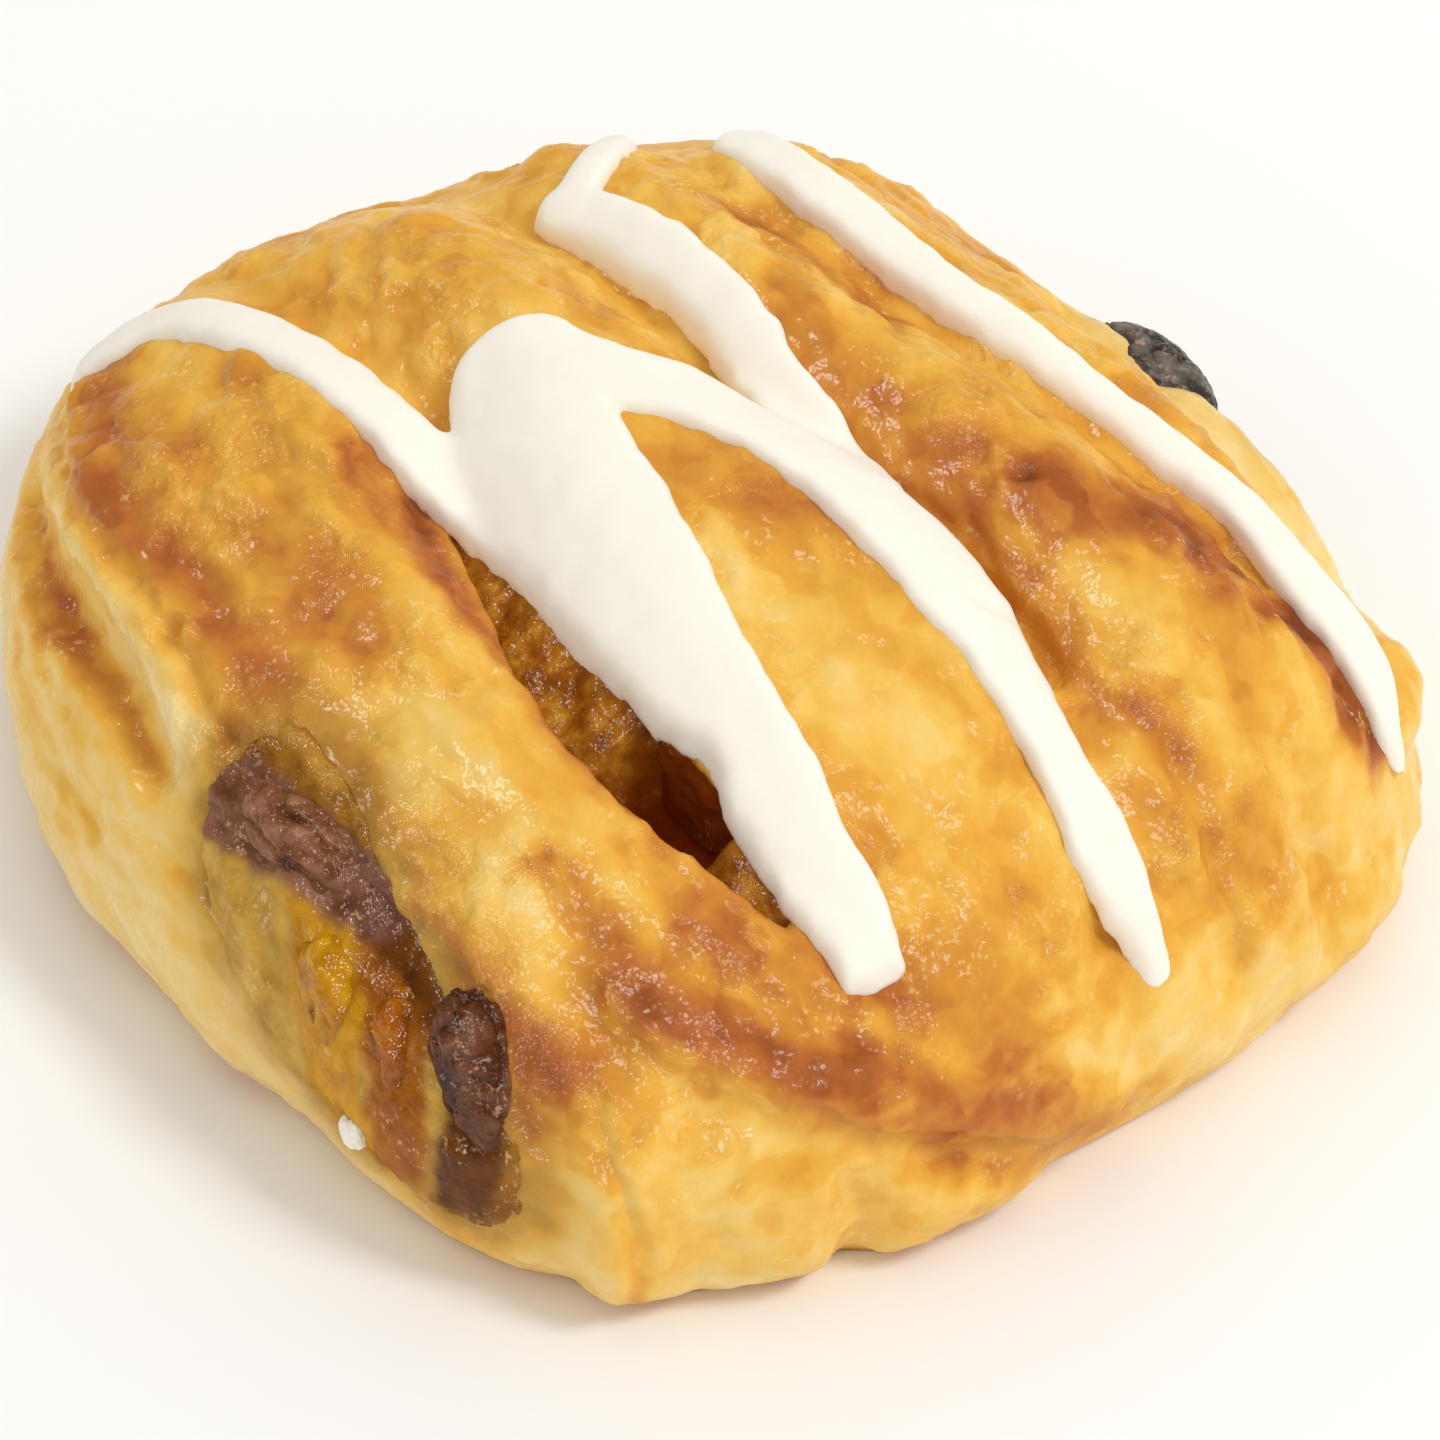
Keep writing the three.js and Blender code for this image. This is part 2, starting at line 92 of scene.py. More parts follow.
def nearLine(line, points, most=1e9):
    # distance to a line of points, share of its length and the nearest place on it; further points than
    # `most` keep that distance
    width = points.shape[1]
    line = np.asarray(line, float)
    low, high = line[:, :width].min(0) - most, line[:, :width].max(0) + most
    close = np.flatnonzero(((points >= low) & (points <= high)).all(1))
    distance, share = np.full(len(points), float(most)), np.zeros(len(points))
    foot = np.zeros((len(points), line.shape[1]))
    p = points[close]
    for k in range(len(line) - 1):
        a, b = line[k], line[k + 1]
        along = (b - a)[:width]
        t = np.clip(((p - a[:width]) @ along) / (along @ along + 1e-12), 0, 1)
        d = np.linalg.norm(p - a[:width] - t[:, None] * along, axis=1)
        better = d < distance[close]
        spot = close[better]
        distance[spot] = d[better]
        share[spot] = (k + t[better]) / (len(line) - 1)
        foot[spot] = a + t[better, None] * (b - a)
    return distance, share, foot


def noiseAt(points, size, seed, octaves=1, stretch=(1, 1, 1)):
    # smooth noise from about -1 to 1, with features `size` mm across
    shift = np.array([seed * 7.31, seed * 3.17, seed * 5.93])
    places = (points / (np.array(stretch) * size) + shift).tolist()
    if octaves == 1:
        return np.array([noise.noise(p) for p in places])
    return np.array([noise.fractal(p, 1.0, 2.0, octaves) for p in places])


def platesAt(points, size, seed, stretch=(1, 1, 1)):
    # plates about `size` mm across, each at a height and tilt of its own: relief from about -1 to 1
    # and a random number for each plate
    scaled = points / (np.array(stretch) * size)
    warp = np.column_stack([noiseAt(points, size * 0.7, seed + k, 2) for k in (1, 2, 3)])
    scaled = scaled + 0.32 * warp + seed * 1.37
    centre = np.array([noise.voronoi(p)[1][0] for p in scaled.tolist()])
    random = np.array([noise.cell_vector(p) for p in (centre * 61.7).tolist()])
    random = 2 * (random - random.min(0)) / (random.max(0) - random.min(0)) - 1
    tilt = ((scaled - centre) * random[:, [1, 2, 0]]).sum(1)
    return 0.6 * random[:, 2] + 1.1 * tilt, random[:, 0]


def pointTree(points):
    tree = kdtree.KDTree(len(points))
    for index, point in enumerate(points.tolist()):
        tree.insert(point, index)
    tree.balance()
    return tree


def onSkin(line, tree, most=3.5):
    # moves a line's points onto the nearest points of the mesh, where those are near
    made = []
    for point in line.tolist():
        found, _, distance = tree.find(point[:3])
        made.append(list(found) if distance < most else point)
    return np.array(made)


def makeObject(name, points, faces):
    mesh = bpy.data.meshes.new(name)
    mesh.from_pydata((np.asarray(points) * mm).tolist(), [], faces)
    mesh.validate()
    made = bpy.data.objects.new(name, mesh)
    scene.collection.objects.link(made)
    return made


def applyModifiers(thing):
    graph = bpy.context.evaluated_depsgraph_get()
    old = thing.data
    new = bpy.data.meshes.new_from_object(thing.evaluated_get(graph))
    thing.modifiers.clear()
    thing.data = new
    new.name = thing.name
    bpy.data.meshes.remove(old)


def cutWith(thing, cutters, operation="DIFFERENCE"):
    for cutter in cutters:
        step = thing.modifiers.new("cut", "BOOLEAN")
        step.object = cutter
        step.operation = operation
        step.solver = "MANIFOLD"
    bpy.context.view_layer.update()
    applyModifiers(thing)
    for cutter in cutters:
        bpy.data.objects.remove(cutter)


def evenMesh(thing, cell):
    step = thing.modifiers.new("even", "REMESH")
    step.mode = "VOXEL"
    step.voxel_size = cell * mm
    step.use_smooth_shade = True
    applyModifiers(thing)


def readPoints(thing):
    points = np.zeros(len(thing.data.vertices) * 3)
    thing.data.vertices.foreach_get("co", points)
    return points.reshape(-1, 3) / mm


def readNormals(thing):
    normals = np.zeros(len(thing.data.vertices) * 3, np.float32)
    thing.data.vertex_normals.foreach_get("vector", normals)
    return normals.reshape(-1, 3).astype(float)


def writePoints(thing, points):
    thing.data.vertices.foreach_set("co", (points * mm).ravel())
    thing.data.update()


def writeValue(thing, name, values):
    attribute = thing.data.attributes.new(name, "FLOAT", "POINT")
    attribute.data.foreach_set("value", np.asarray(values, np.float32))


def relax(thing, points, weight, rounds):
    # moves each point towards the middle of its neighbours
    edges = np.zeros(len(thing.data.edges) * 2, int)
    thing.data.edges.foreach_get("vertices", edges)
    a, b = edges.reshape(-1, 2).T
    count = np.bincount(np.concatenate([a, b]), minlength=len(points))[:, None]
    weight = np.broadcast_to(weight, len(points))[:, None]
    for _ in range(rounds):
        total = np.zeros_like(points)
        for axis in range(3):
            fromSecond = np.bincount(a, points[b, axis], len(points))
            total[:, axis] = fromSecond + np.bincount(b, points[a, axis], len(points))
        points = points + weight * (total / np.maximum(count, 1) - points)
    return points


def thinOut(thing, most, hidden):
    # fewer triangles: first only where they are hidden, then, if that isn't enough, everywhere
    group = thing.vertex_groups.new(name="hidden")
    for index in np.flatnonzero(hidden):
        group.add([int(index)], 1.0, "REPLACE")
    for where in ("hidden", ""):
        thing.data.calc_loop_triangles()
        count = len(thing.data.loop_triangles)
        if count > most:
            step = thing.modifiers.new("thinOut", "DECIMATE")
            step.ratio = most / count
            step.vertex_group = where
            step.vertex_group_factor = 0.02
            applyModifiers(thing)
    thing.vertex_groups.clear()


def smoothShade(thing):
    thing.data.polygons.foreach_set("use_smooth", [True] * len(thing.data.polygons))


# the dough's form: the same named sizes as the solid's

dough = {
    "height": 34, "widest": 8, "halfLength": 53, "halfWidth": 47, "crownDrop": 3,
    "baseTuck": 0.06, "sidePower": 3.2, "topPower": 2.2,
    "frontBearing": 262, "frontSpread": 38, "frontPower": 2.3, "frontTuck": 0.03,
    "furrowPower": 1.5, "furrowEnds": 0.45,
    # radius every 22.5 degrees, from +X round by +Y
    "outline": [50.8, 52.4, 55.4, 50.2, 47.3, 46.0, 52.0, 52.2,
                51.8, 54.6, 52.6, 48.8, 47.6, 48.0, 54.4, 55.0],
}

# Furrows between the strips of the slashed top: points of x, y, then depth and reach to the side
furrows = [
    ([(-46, -15.5), (-30, -12.5), (-16, -12), (-7, -14.5), (10, -17), (24, -16.7), (36, -13.6), (44, -11)],
     6, 9),
    ([(-45, 4), (-34, 5.5), (-23, 7), (-3, 9), (10, 13.6), (23, 14.4), (31, 13), (38, 10.5), (46, 8)],
     5.6, 7.8),
    ([(-38, 20), (-24, 20.7), (-12, 23.7), (0, 26.7), (10, 29.6), (18, 32.7), (25, 33.4), (40, 36.2)], 4, 6),
]

# Folds, lobes and creases: points of x, y, z, then reach and how far it stands out (or in)
folds = [
    # groove left of the front mouth, and the pale layer above it
    ([(-36, -34, 16), (-23, -39.3, 18.5), (-13.6, -40.3, 19.6), (-2, -41.6, 19.6)], 3.2, -2.4),
    ([(-27, -35.6, 21), (-22.1, -37.2, 21.8), (-11.7, -38.2, 22.9), (-1, -39.2, 22.8)], 2.4, 0.9),
    # lower edge of the browned crust over the front face
    ([(-31.5, -33.5, 22.5), (-20.7, -36.3, 23.7), (-9.5, -36.6, 25), (6.8, -35.4, 26), (33, -32, 24)],
     4, 0.9),
    # upright corner between the front face and the folded side
    ([(43, -30.6, 17), (45, -31.3, 11), (45, -31, 1)], 5.5, 2.2),
    # browned flap over the side panel, and the step beneath it
    ([(37, -27, 25), (43, -24, 22.5), (47.6, -19, 20), (50.5, -12.6, 17), (51.7, -5, 13), (51, 4, 8)],
     4.5, 1.1),
    ([(45, -26, 17), (49, -20, 15), (51.5, -12.6, 12), (52.5, -5, 7.5)], 3, -1),
    # notch between the two lobes of the side, and the second lobe
    ([(50.5, -16.4, 10), (51.5, -16.2, 5), (50, -16, -1)], 3.4, -2.4),
    ([(51.6, -8, 4), (51.6, -3, 3)], 7, 1.4),
    # creases at the right, where the strips run down into the side
    ([(42.5, 12.6, 24.6), (46.1, 14.2, 19.5), (48.8, 16.4, 13)], 3, -1.4),
    ([(40, 27, 22), (45, 27.8, 15), (47, 27, 8)], 3, -1.1),
    # pale corner, the hollow under it and the lobe under that
    ([(37, 41, 17.5), (33, 43, 16.5)], 5, 2.2),
    ([(45, 30, 15), (44.5, 33, 13), (43.5, 35.5, 11)], 8, -1.9),
    ([(43.6, 35.4, 7.4), (45.4, 31.5, 7.8)], 4, 1.3),
    # shoulder of the rear cut face, drawn in over the raisin, and the layers of that face
    ([(-7, 39.5, 25), (4, 41, 23.5), (14, 42.5, 21.5), (22, 42.5, 19.5)], 6.5, -3),
    ([(-38, 33, 16), (-26, 39, 17.5), (-16, 42, 18)], 3.4, -1.5),
    ([(18, 46, 12.5), (27, 44, 12), (36, 39, 10)], 3.2, -1.3),
    # seam of the fold along the back side
    ([(-50, -16, 13), (-52.5, -4, 11.5), (-51.5, 8, 12), (-48, 20, 13)], 3.6, -1.4),
]

# Where the furrows gape: furrow, share of its length from and to, half width and height of the floor
slashes = [(0, 0.41, 0.95, 3.1, 15.5), (1, 0.52, 0.8, 1.1, 25.6), (2, 0.15, 0.35, 1.2, 29.6),
           (2, 0.78, 0.98, 1.9, 23.5)]
slashEnd = (0.66, 0.9, 9)  # a slash grows shallow between these shares of its length, by so many mm
slashRagged = 0.12  # how uneven its rims are, as a share of its width
slashSpots = (3.5, 11, 17)  # size of that in mm, and seeds for its left and its right rim

furrowLines = [smoothLine(line, 8) for line, depth, reach in furrows]
foldLines = [smoothLine(line, 4) for line, reach, rise in folds]


def outlineRadius(bearing):
    r = np.array(dough["outline"])
    n = len(r)
    place = (bearing % (2 * np.pi)) / (2 * np.pi) * n
    i = np.floor(place).astype(int)
    f = place - i
    return curveBetween(*(r[(i + k) % n] for k in (-1, 0, 1, 2)), f)


def frontShare(bearing):
    degrees = np.degrees(bearing) % 360
    return np.exp(-((degrees - dough["frontBearing"]) / dough["frontSpread"]) ** 2)


def sidePower(bearing):
    return dough["sidePower"] - (dough["sidePower"] - dough["frontPower"]) * frontShare(bearing)


def tuckUnder(bearing, down):
    # share of the outline that is left, a share `down` of the way to the base
    return 1 - (dough["baseTuck"] + dough["frontTuck"] * frontShare(bearing)) * down ** 2


def furrowDrop(x, y):
    drop = np.zeros(len(x))
    places = np.column_stack([x, y])
    for (line, depth, reach), centre in zip(furrows, furrowLines):
        distance, share, _ = nearLine(centre, places, reach)
        fade = dough["furrowEnds"] + (1 - dough["furrowEnds"]) * np.sin(np.pi * share)
        drop = np.maximum(drop, depth * fade * np.maximum(0, 1 - distance / reach) ** dough["furrowPower"])
    return drop


def crown(x, y):
    away = (x / dough["halfLength"]) ** 2 + (y / dough["halfWidth"]) ** 2
    return dough["height"] - dough["crownDrop"] * away


def skinHeight(x, y, follow=1.0):
    # height of the skin over a place in plan; follow is the share of the furrows that it goes down
    bearing = np.arctan2(y, x)
    reach = np.minimum(1, np.hypot(x, y) / outlineRadius(bearing))
    rise = (1 - reach ** sidePower(bearing)) ** (1 / dough["topPower"])
    return dough["widest"] + rise * (crown(x, y) - follow * furrowDrop(x, y) - dough["widest"])


def depthInside(points):
    # 1 on the skin, less inside: tells outer skin from the walls of cuts
    x, y, z = (points - outward(points) * foldPush(points)[:, None]).T
    bearing = np.arctan2(y, x)
    upper = np.maximum(z - dough["widest"], 0) / (crown(x, y) - furrowDrop(x, y) - dough["widest"])
    lower = np.maximum(dough["widest"] - z, 0) / dough["widest"]
    reach = np.hypot(x, y) / (outlineRadius(bearing) * tuckUnder(bearing, lower))
    return np.maximum(reach, 0) ** sidePower(bearing) + upper ** dough["topPower"]


def outward(points):
    x, y, z = points.T
    up = np.maximum(0, z - dough["widest"]) / (dough["height"] - dough["widest"]) ** 2
    n = np.column_stack([x / dough["halfLength"] ** 2, y / dough["halfWidth"] ** 2, up])
    return n / np.maximum(np.linalg.norm(n, axis=1), 1e-9)[:, None]


def foldPush(points):
    push = np.zeros(len(points))
    for (line, reach, rise), centre in zip(folds, foldLines):
        distance, _, _ = nearLine(centre, points, reach)
        push += rise * (1 - np.minimum(distance / reach, 1) ** 2) ** 2
    return push


def doughBody(name, inset=0.0, sectors=360, rings=(96, 56, 24, 14)):
    # rings from the middle of the top, over the shoulder, down the side and in under the base
    top, shoulder, lower, base = rings
    ring = np.repeat(np.arange(1, sum(rings)), sectors).astype(float)
    bearing = np.tile(np.arange(sectors) * 2 * np.pi / sectors, sum(rings) - 1)
    power = sidePower(bearing)
    bend = 0.86  # share of the radius where the top turns into the shoulder
    start = (1 - bend ** power) ** (1 / dough["topPower"])
    onTop = ring <= top
    rise = np.where(onTop, 0, start * np.clip(1 - (ring - top) / shoulder, 0, 1))
    reach = np.where(onTop, bend * ring / top, (1 - rise ** dough["topPower"]) ** (1 / power))
    rise = np.where(onTop, (1 - reach ** power) ** (1 / dough["topPower"]), rise)
    down = np.clip((ring - top - shoulder) / lower, 0, 1)
    inward = np.clip((sum(rings) - ring) / base, 0, 1)
    radius = outlineRadius(bearing) * reach * tuckUnder(bearing, down) * inward
    x, y = radius * np.cos(bearing), radius * np.sin(bearing)
    upperZ = dough["widest"] + rise * (crown(x, y) - furrowDrop(x, y) - dough["widest"])
    z = np.where(down > 0, dough["widest"] * (1 - down), upperZ)
    points = np.column_stack([x, y, z])
    pushed = points + outward(points) * foldPush(points)[:, None]
    pushed[:, 2] = np.where(z > 0, pushed[:, 2], 0)
    pushed[:, :2] *= (1 - inset / outlineRadius(bearing))[:, None]
    poles = np.array([[0, 0, skinHeight(np.zeros(1), np.zeros(1))[0]], [0, 0, 0]])
    return makeObject(name, np.vstack([pushed, poles]), tubeFaces(sum(rings) - 1, sectors))


def tubeFaces(rows, around):
    # quads between rows of points, and a fan at each end to the last two points
    faces = []
    for r in range(rows - 1):
        for s in range(around):
            t = (s + 1) % around
            faces.append((r * around + s, (r + 1) * around + s, (r + 1) * around + t, r * around + t))
    first, last = rows * around, rows * around + 1
    for s in range(around):
        t = (s + 1) % around
        faces.append((first, s, t))
        faces.append((last, (rows - 1) * around + t, (rows - 1) * around + s))
    return faces


def slashCutter(slash):
    furrow, start, end, half, slashFloor = slash
    line = furrowLines[furrow]
    steps = 60
    share = start + (end - start) * np.arange(steps + 1) / steps
    place = share * (len(line) - 1)
    i = np.minimum(place.astype(int), len(line) - 2)
    middle = line[i] + (line[i + 1] - line[i]) * (place - i)[:, None]
    along = line[i + 1] - line[i]
    along /= np.linalg.norm(along, axis=1)[:, None]
    side = np.column_stack([-along[:, 1], along[:, 0]])
    lens = half * np.maximum(0.02, np.sin(np.pi * np.arange(steps + 1) / steps)) ** 0.7
    flat = np.column_stack([middle, np.zeros(steps + 1)])
    size, *seeds = slashSpots
    widths = [lens * (1 + slashRagged * noiseAt(flat, size, seed + furrow, 2)) for seed in seeds]
    left = middle + side * widths[0][:, None]
    right = middle - side * widths[1][:, None]
    ring = np.vstack([right, left[::-1]])
    around = len(ring)
    low, high, shallower = slashEnd
    floor = slashFloor + shallower * smoothStep(low, high, np.arange(steps + 1) / steps)
    floor = np.concatenate([floor, floor[::-1]])
    rows = [np.column_stack([ring, floor + (40 - floor) * level]) for level in (0, 0.3, 0.6, 1)]
    faces = []
    for s in range(steps):
        a, b, c, d = s, s + 1, around - 2 - s, around - 1 - s
        faces.append((d, c, b, a))
        faces.append(tuple(3 * around + v for v in (a, b, c, d)))
    for r in range(3):
        for s in range(around):
            t = (s + 1) % around
            faces.append((r * around + s, r * around + t, (r + 1) * around + t, (r + 1) * around + s))
    return makeObject("slashCutter", np.vstack(rows), faces)


# the filling's form

filling = {
    # station along Y, middle x and z, half width, half height, tilt in degrees
    "stations": [
        (-60, 21.6, 16.8, 18.4, 5.8, -22), (-36.5, 21.6, 16.8, 18.4, 5.8, -22), (-25, 4, 14, 34, 8, -4),
        (0, 1, 13, 38, 8.4, 0), (24, 1, 12.6, 36, 7.6, 0), (34, -3, 12.4, 26, 5.8, 2),
        (41, -8, 12.2, 17, 4.6, 4), (60, -8, 12.2, 17, 4.6, 4),
    ],
    "square": 2.6, "reach": 60, "inset": 0.9, "lumpHeight": 0.7, "lumpSize": 9,
    "slashLift": (4.5, 8),  # how far it wells up in the open slash, at its near and far rim
    "hole": (20.5, 29),     # x range of the deep hole in that slash
    "holeDepth": 5,
    "bulge": 0.9,           # how far it swells out of the front cut face
    "recess": 0.15,         # how far it lies back under the browned crust
    "dip": 1.3,             # how far it dips under the dough round it
    "rearRecess": 1.6,      # how far it lies back in the rear cut face
    "lumps": (5, 0.8),      # size and height of its lumps where it shows, mm
    "crumbs": (1.9, 0.4),   # the same for the crumbs in the slash and beside the raisins
}

# What shows in the cut faces, over dough soaked with syrup: points of x, y, z, then reach
fillingZones = {
    "syrup": [([(3, -39, 24.2), (12, -37.6, 25.2), (20, -36, 25.6), (28, -35, 24.4), (34.5, -34.6, 21),
                (38.4, -36.8, 14), (38, -38.6, 8)], 4)],
    "amber": [([(17, -39, 21.4), (20.2, -40.6, 18.5), (23.4, -42, 14), (25.4, -43, 9.4)], 4),
              ([(-19, 45, 11), (-15, 45, 11.6), (-10, 45, 12)], 4.4)],
    "caramel": [([(23.4, -38, 22), (27.6, -39, 18.5), (30.6, -41, 13), (31, -42, 9.5)], 3.8),
                ([(-25, 45, 11), (-8, 46, 12.4), (6, 46, 12.6)], 4)],
    "dark": [([(20, -36.8, 23.6), (24.6, -37, 22.6), (28.7, -36.4, 22), (33.4, -36.4, 19.6), (36, -38.3, 15),
               (36.2, -40, 10.5)], 3.2)],
    "plum": [([(5.2, -40.2, 22.2), (12, -38.6, 22.6), (17, -37.6, 22.9), (20.6, -36.6, 23.4)], 4),
             ([(-9, 45, 15), (-2.8, 45.5, 15.6), (4, 45.5, 16.5)], 4)],
}


def fillingSection(y):
    rows = np.array(filling["stations"], float)
    k = np.clip(np.searchsorted(rows[:, 0], y) - 1, 0, len(rows) - 2)
    f = smoothStep(rows[k, 0], rows[k + 1, 0], y)
    return [rows[k, c] + (rows[k + 1, c] - rows[k, c]) * f for c in range(1, 6)]


def sectionReach(points, station=None):
    # place in the filling's section: 1 on its edge, then how far across and up from its middle
    y = points[:, 1] if station is None else np.full(len(points), float(station))
    midX, midZ, wide, tall, tilt = fillingSection(y)
    turn = np.radians(tilt)
    dx = points[:, 0] - midX
    dz = points[:, 2] - midZ
    u = dx * np.cos(turn) + dz * np.sin(turn)
    w = dz * np.cos(turn) - dx * np.sin(turn)
    square = filling["square"]
    reach = (np.abs(u / wide) ** square + np.abs(w / tall) ** square) ** (1 / square)
    return reach, u, w


def fillingTube(name, grow, around=160, stations=150, mouthGrow=0.0):
    square = filling["square"]
    along = np.repeat(np.linspace(-1, 1, stations), around)
    turn = np.tile(np.arange(around) * 2 * np.pi / around, stations)
    y = filling["reach"] * (0.72 * along + 0.28 * along ** 3)
    across, up = np.sin(turn), np.cos(turn)
    swell = 1 / (np.abs(across) ** square + np.abs(up) ** square) ** (1 / square)
    midX, midZ, wide, tall, tilt = fillingSection(y)
    grow = grow + mouthGrow * smoothStep(31, 37, -y)
    u = across * swell * (wide + grow)
    w = up * swell * (tall + grow)
    tilt = np.radians(tilt)
    x = midX + u * np.cos(tilt) - w * np.sin(tilt)
    z = midZ + u * np.sin(tilt) + w * np.cos(tilt)
    wave = 2 * np.pi / filling["lumpSize"]
    lump = filling["lumpHeight"] * np.sin(wave * x + 1.3 * np.sin(0.6 * wave * y)) * np.sin(wave * y + 0.8)
    z = z + np.maximum(0, up) * lump * np.cos(0.7 * wave * z)
    points = np.column_stack([x, y, z])
    ends = [points[:around].mean(0), points[-around:].mean(0)]
    return makeObject(name, np.vstack([points, ends]), [face[::-1] for face in tubeFaces(stations, around)])


# pastry: the slashed, browned dough

crust = {
    "swell": (15, 0.55),       # size and height of the dough's soft unevenness, mm
    "bumps": (5, 0.42),        # smaller bumps of the puffed layers
    "clumps": (2.3, 0.24),     # the flaky surface itself
    "pimples": (1.1, 0.1),     # blistered skin
    "plates": (7, 0.36),       # flakes of the top layer, with torn edges
    "scraps": (2.8, 0.34),     # smaller flakes, in patches
    "wrinkles": (3.4, 0.3),    # spacing and depth of wrinkles along the strips
    "settle": 2,               # rounds of relaxing that take the edge off all these
    "layers": (3.6, 0.36),     # spacing and depth of the layers in the cut faces
    "lip": (0.55, 0.5),        # how far the browned crust stands over the faces, and the groove under it
    "rimSoftness": 7,          # rounds of relaxing at the slashes
}

# Lower edge of the browned crust, over the front cut face and over the folded side
crustEdges = [
    [(-42, -28, 18.5), (-31.5, -33.5, 21.7), (-20.7, -36.3, 22.9), (-9.5, -36.8, 24.3), (0, -37.6, 24.6)],
    [(36, -28.5, 24.4), (40, -27.2, 22), (43.7, -23.4, 20.2), (46.9, -19, 18.3), (49.3, -14.4, 16),
     (50.8, -9.5, 13.4), (51.5, -3.3, 9.6), (51, 4, 5)],
]

# Raised blisters and loose flakes: x, y, z, radius, height
blisters = [
    (2.1, -31, 28, 2.6, 0.7), (-35.5, -2.6, 29.1, 3.4, 0.8), (-16.8, -27.5, 28.6, 3, 0.6),
    (14, -24, 30, 2.6, 0.5), (-28, -21, 29, 2.8, 0.5), (20, 0, 33, 3.2, 0.5), (31, 22, 28, 3, 0.7),
    (38, 0, 29, 3, 0.5), (-8, 16, 33, 3.2, 0.6), (-40, 12, 26, 3.2, 0.7), (6, 18, 33, 2.8, 0.5),
    (-20, -2, 33, 3, 0.5), (45, -27.6, 17.2, 2.6, 0.5), (47.2, -24, 16, 2.6, 0.5), (46.6, 4, 21, 3, 0.4),
]

# Sharp creases: points of x, y, z, then reach and depth
creases = [
    ([(40.5, -31, 19.5), (43.4, -31.3, 15.5), (44.9, -31.3, 12.6), (45.2, -31, 8), (44.8, -30.8, 2)], 1.6, 1),
    ([(36.5, 17.6, 27), (38.7, 17.9, 25.3), (43.2, 18.1, 21.5), (46.2, 17.7, 18), (48, 17.9, 14),
      (48.9, 17.9, 9)], 2.2, 1.6),
    ([(41.9, 22.8, 21.4), (44.3, 27.5, 16), (46, 27.5, 10.2)], 1.8, 0.7),
    ([(44, 7.6, 23), (47.6, 7.4, 18.3), (49.6, 7.9, 13.7), (50.6, 7, 8)], 1.8, 0.6),
    ([(34.6, -24.4, 27.4), (40.6, -21.6, 25.3), (45, -15.6, 23.4), (48.6, -8, 19)], 1.8, 0.4),
    ([(-26, -38.2, 19.8), (-16, -39.3, 20.8), (-6, -40.2, 21.2)], 1.6, 0.7),
    ([(-30, -35.6, 22.2), (-20, -36.6, 23.8), (-9, -37.2, 24.6), (1, -38.2, 24.2)], 1.4, 0.5),
    ([(41.8, -29.6, 19.6), (43.6, -28, 19.4), (44.8, -25.5, 19.6), (47, -23.2, 18.2), (48.4, -21, 17)],
     1.2, 0.6),
    ([(47, -23.2, 17.6), (48.4, -24.4, 14), (47.7, -27.3, 11.4)], 1.1, 0.4),
    ([(-44, 10, 23), (-47, 18, 18), (-46, 24, 12)], 2, 0.7),
    ([(-46, -22, 20), (-48, -20, 13), (-48, -21, 6)], 2, 0.7),
    ([(-30, -38.5, 13), (-10, -45.2, 13.5), (4, -46, 12.5)], 2, 0.5),
]


def ledge(points, line, tree, above, below):
    # an edge of crust: out above the line, in beneath it
    reach = 4.5
    distance, _, foot = nearLine(onSkin(smoothLine(line, 6), tree), points, reach)
    up = points[:, 2] - foot[:, 2] + 0.7 * noiseAt(points, 6, 31, 2)
    fade = np.maximum(0, 1 - distance / reach) ** 1.5
    lift = above * np.exp(-np.maximum(up, 0) / 2.6)
    dip = -below * np.exp(-np.maximum(-up, 0) / 1.3)
    side = smoothStep(-0.6, 0.6, up)
    return fade * (side * lift + (1 - side) * dip)


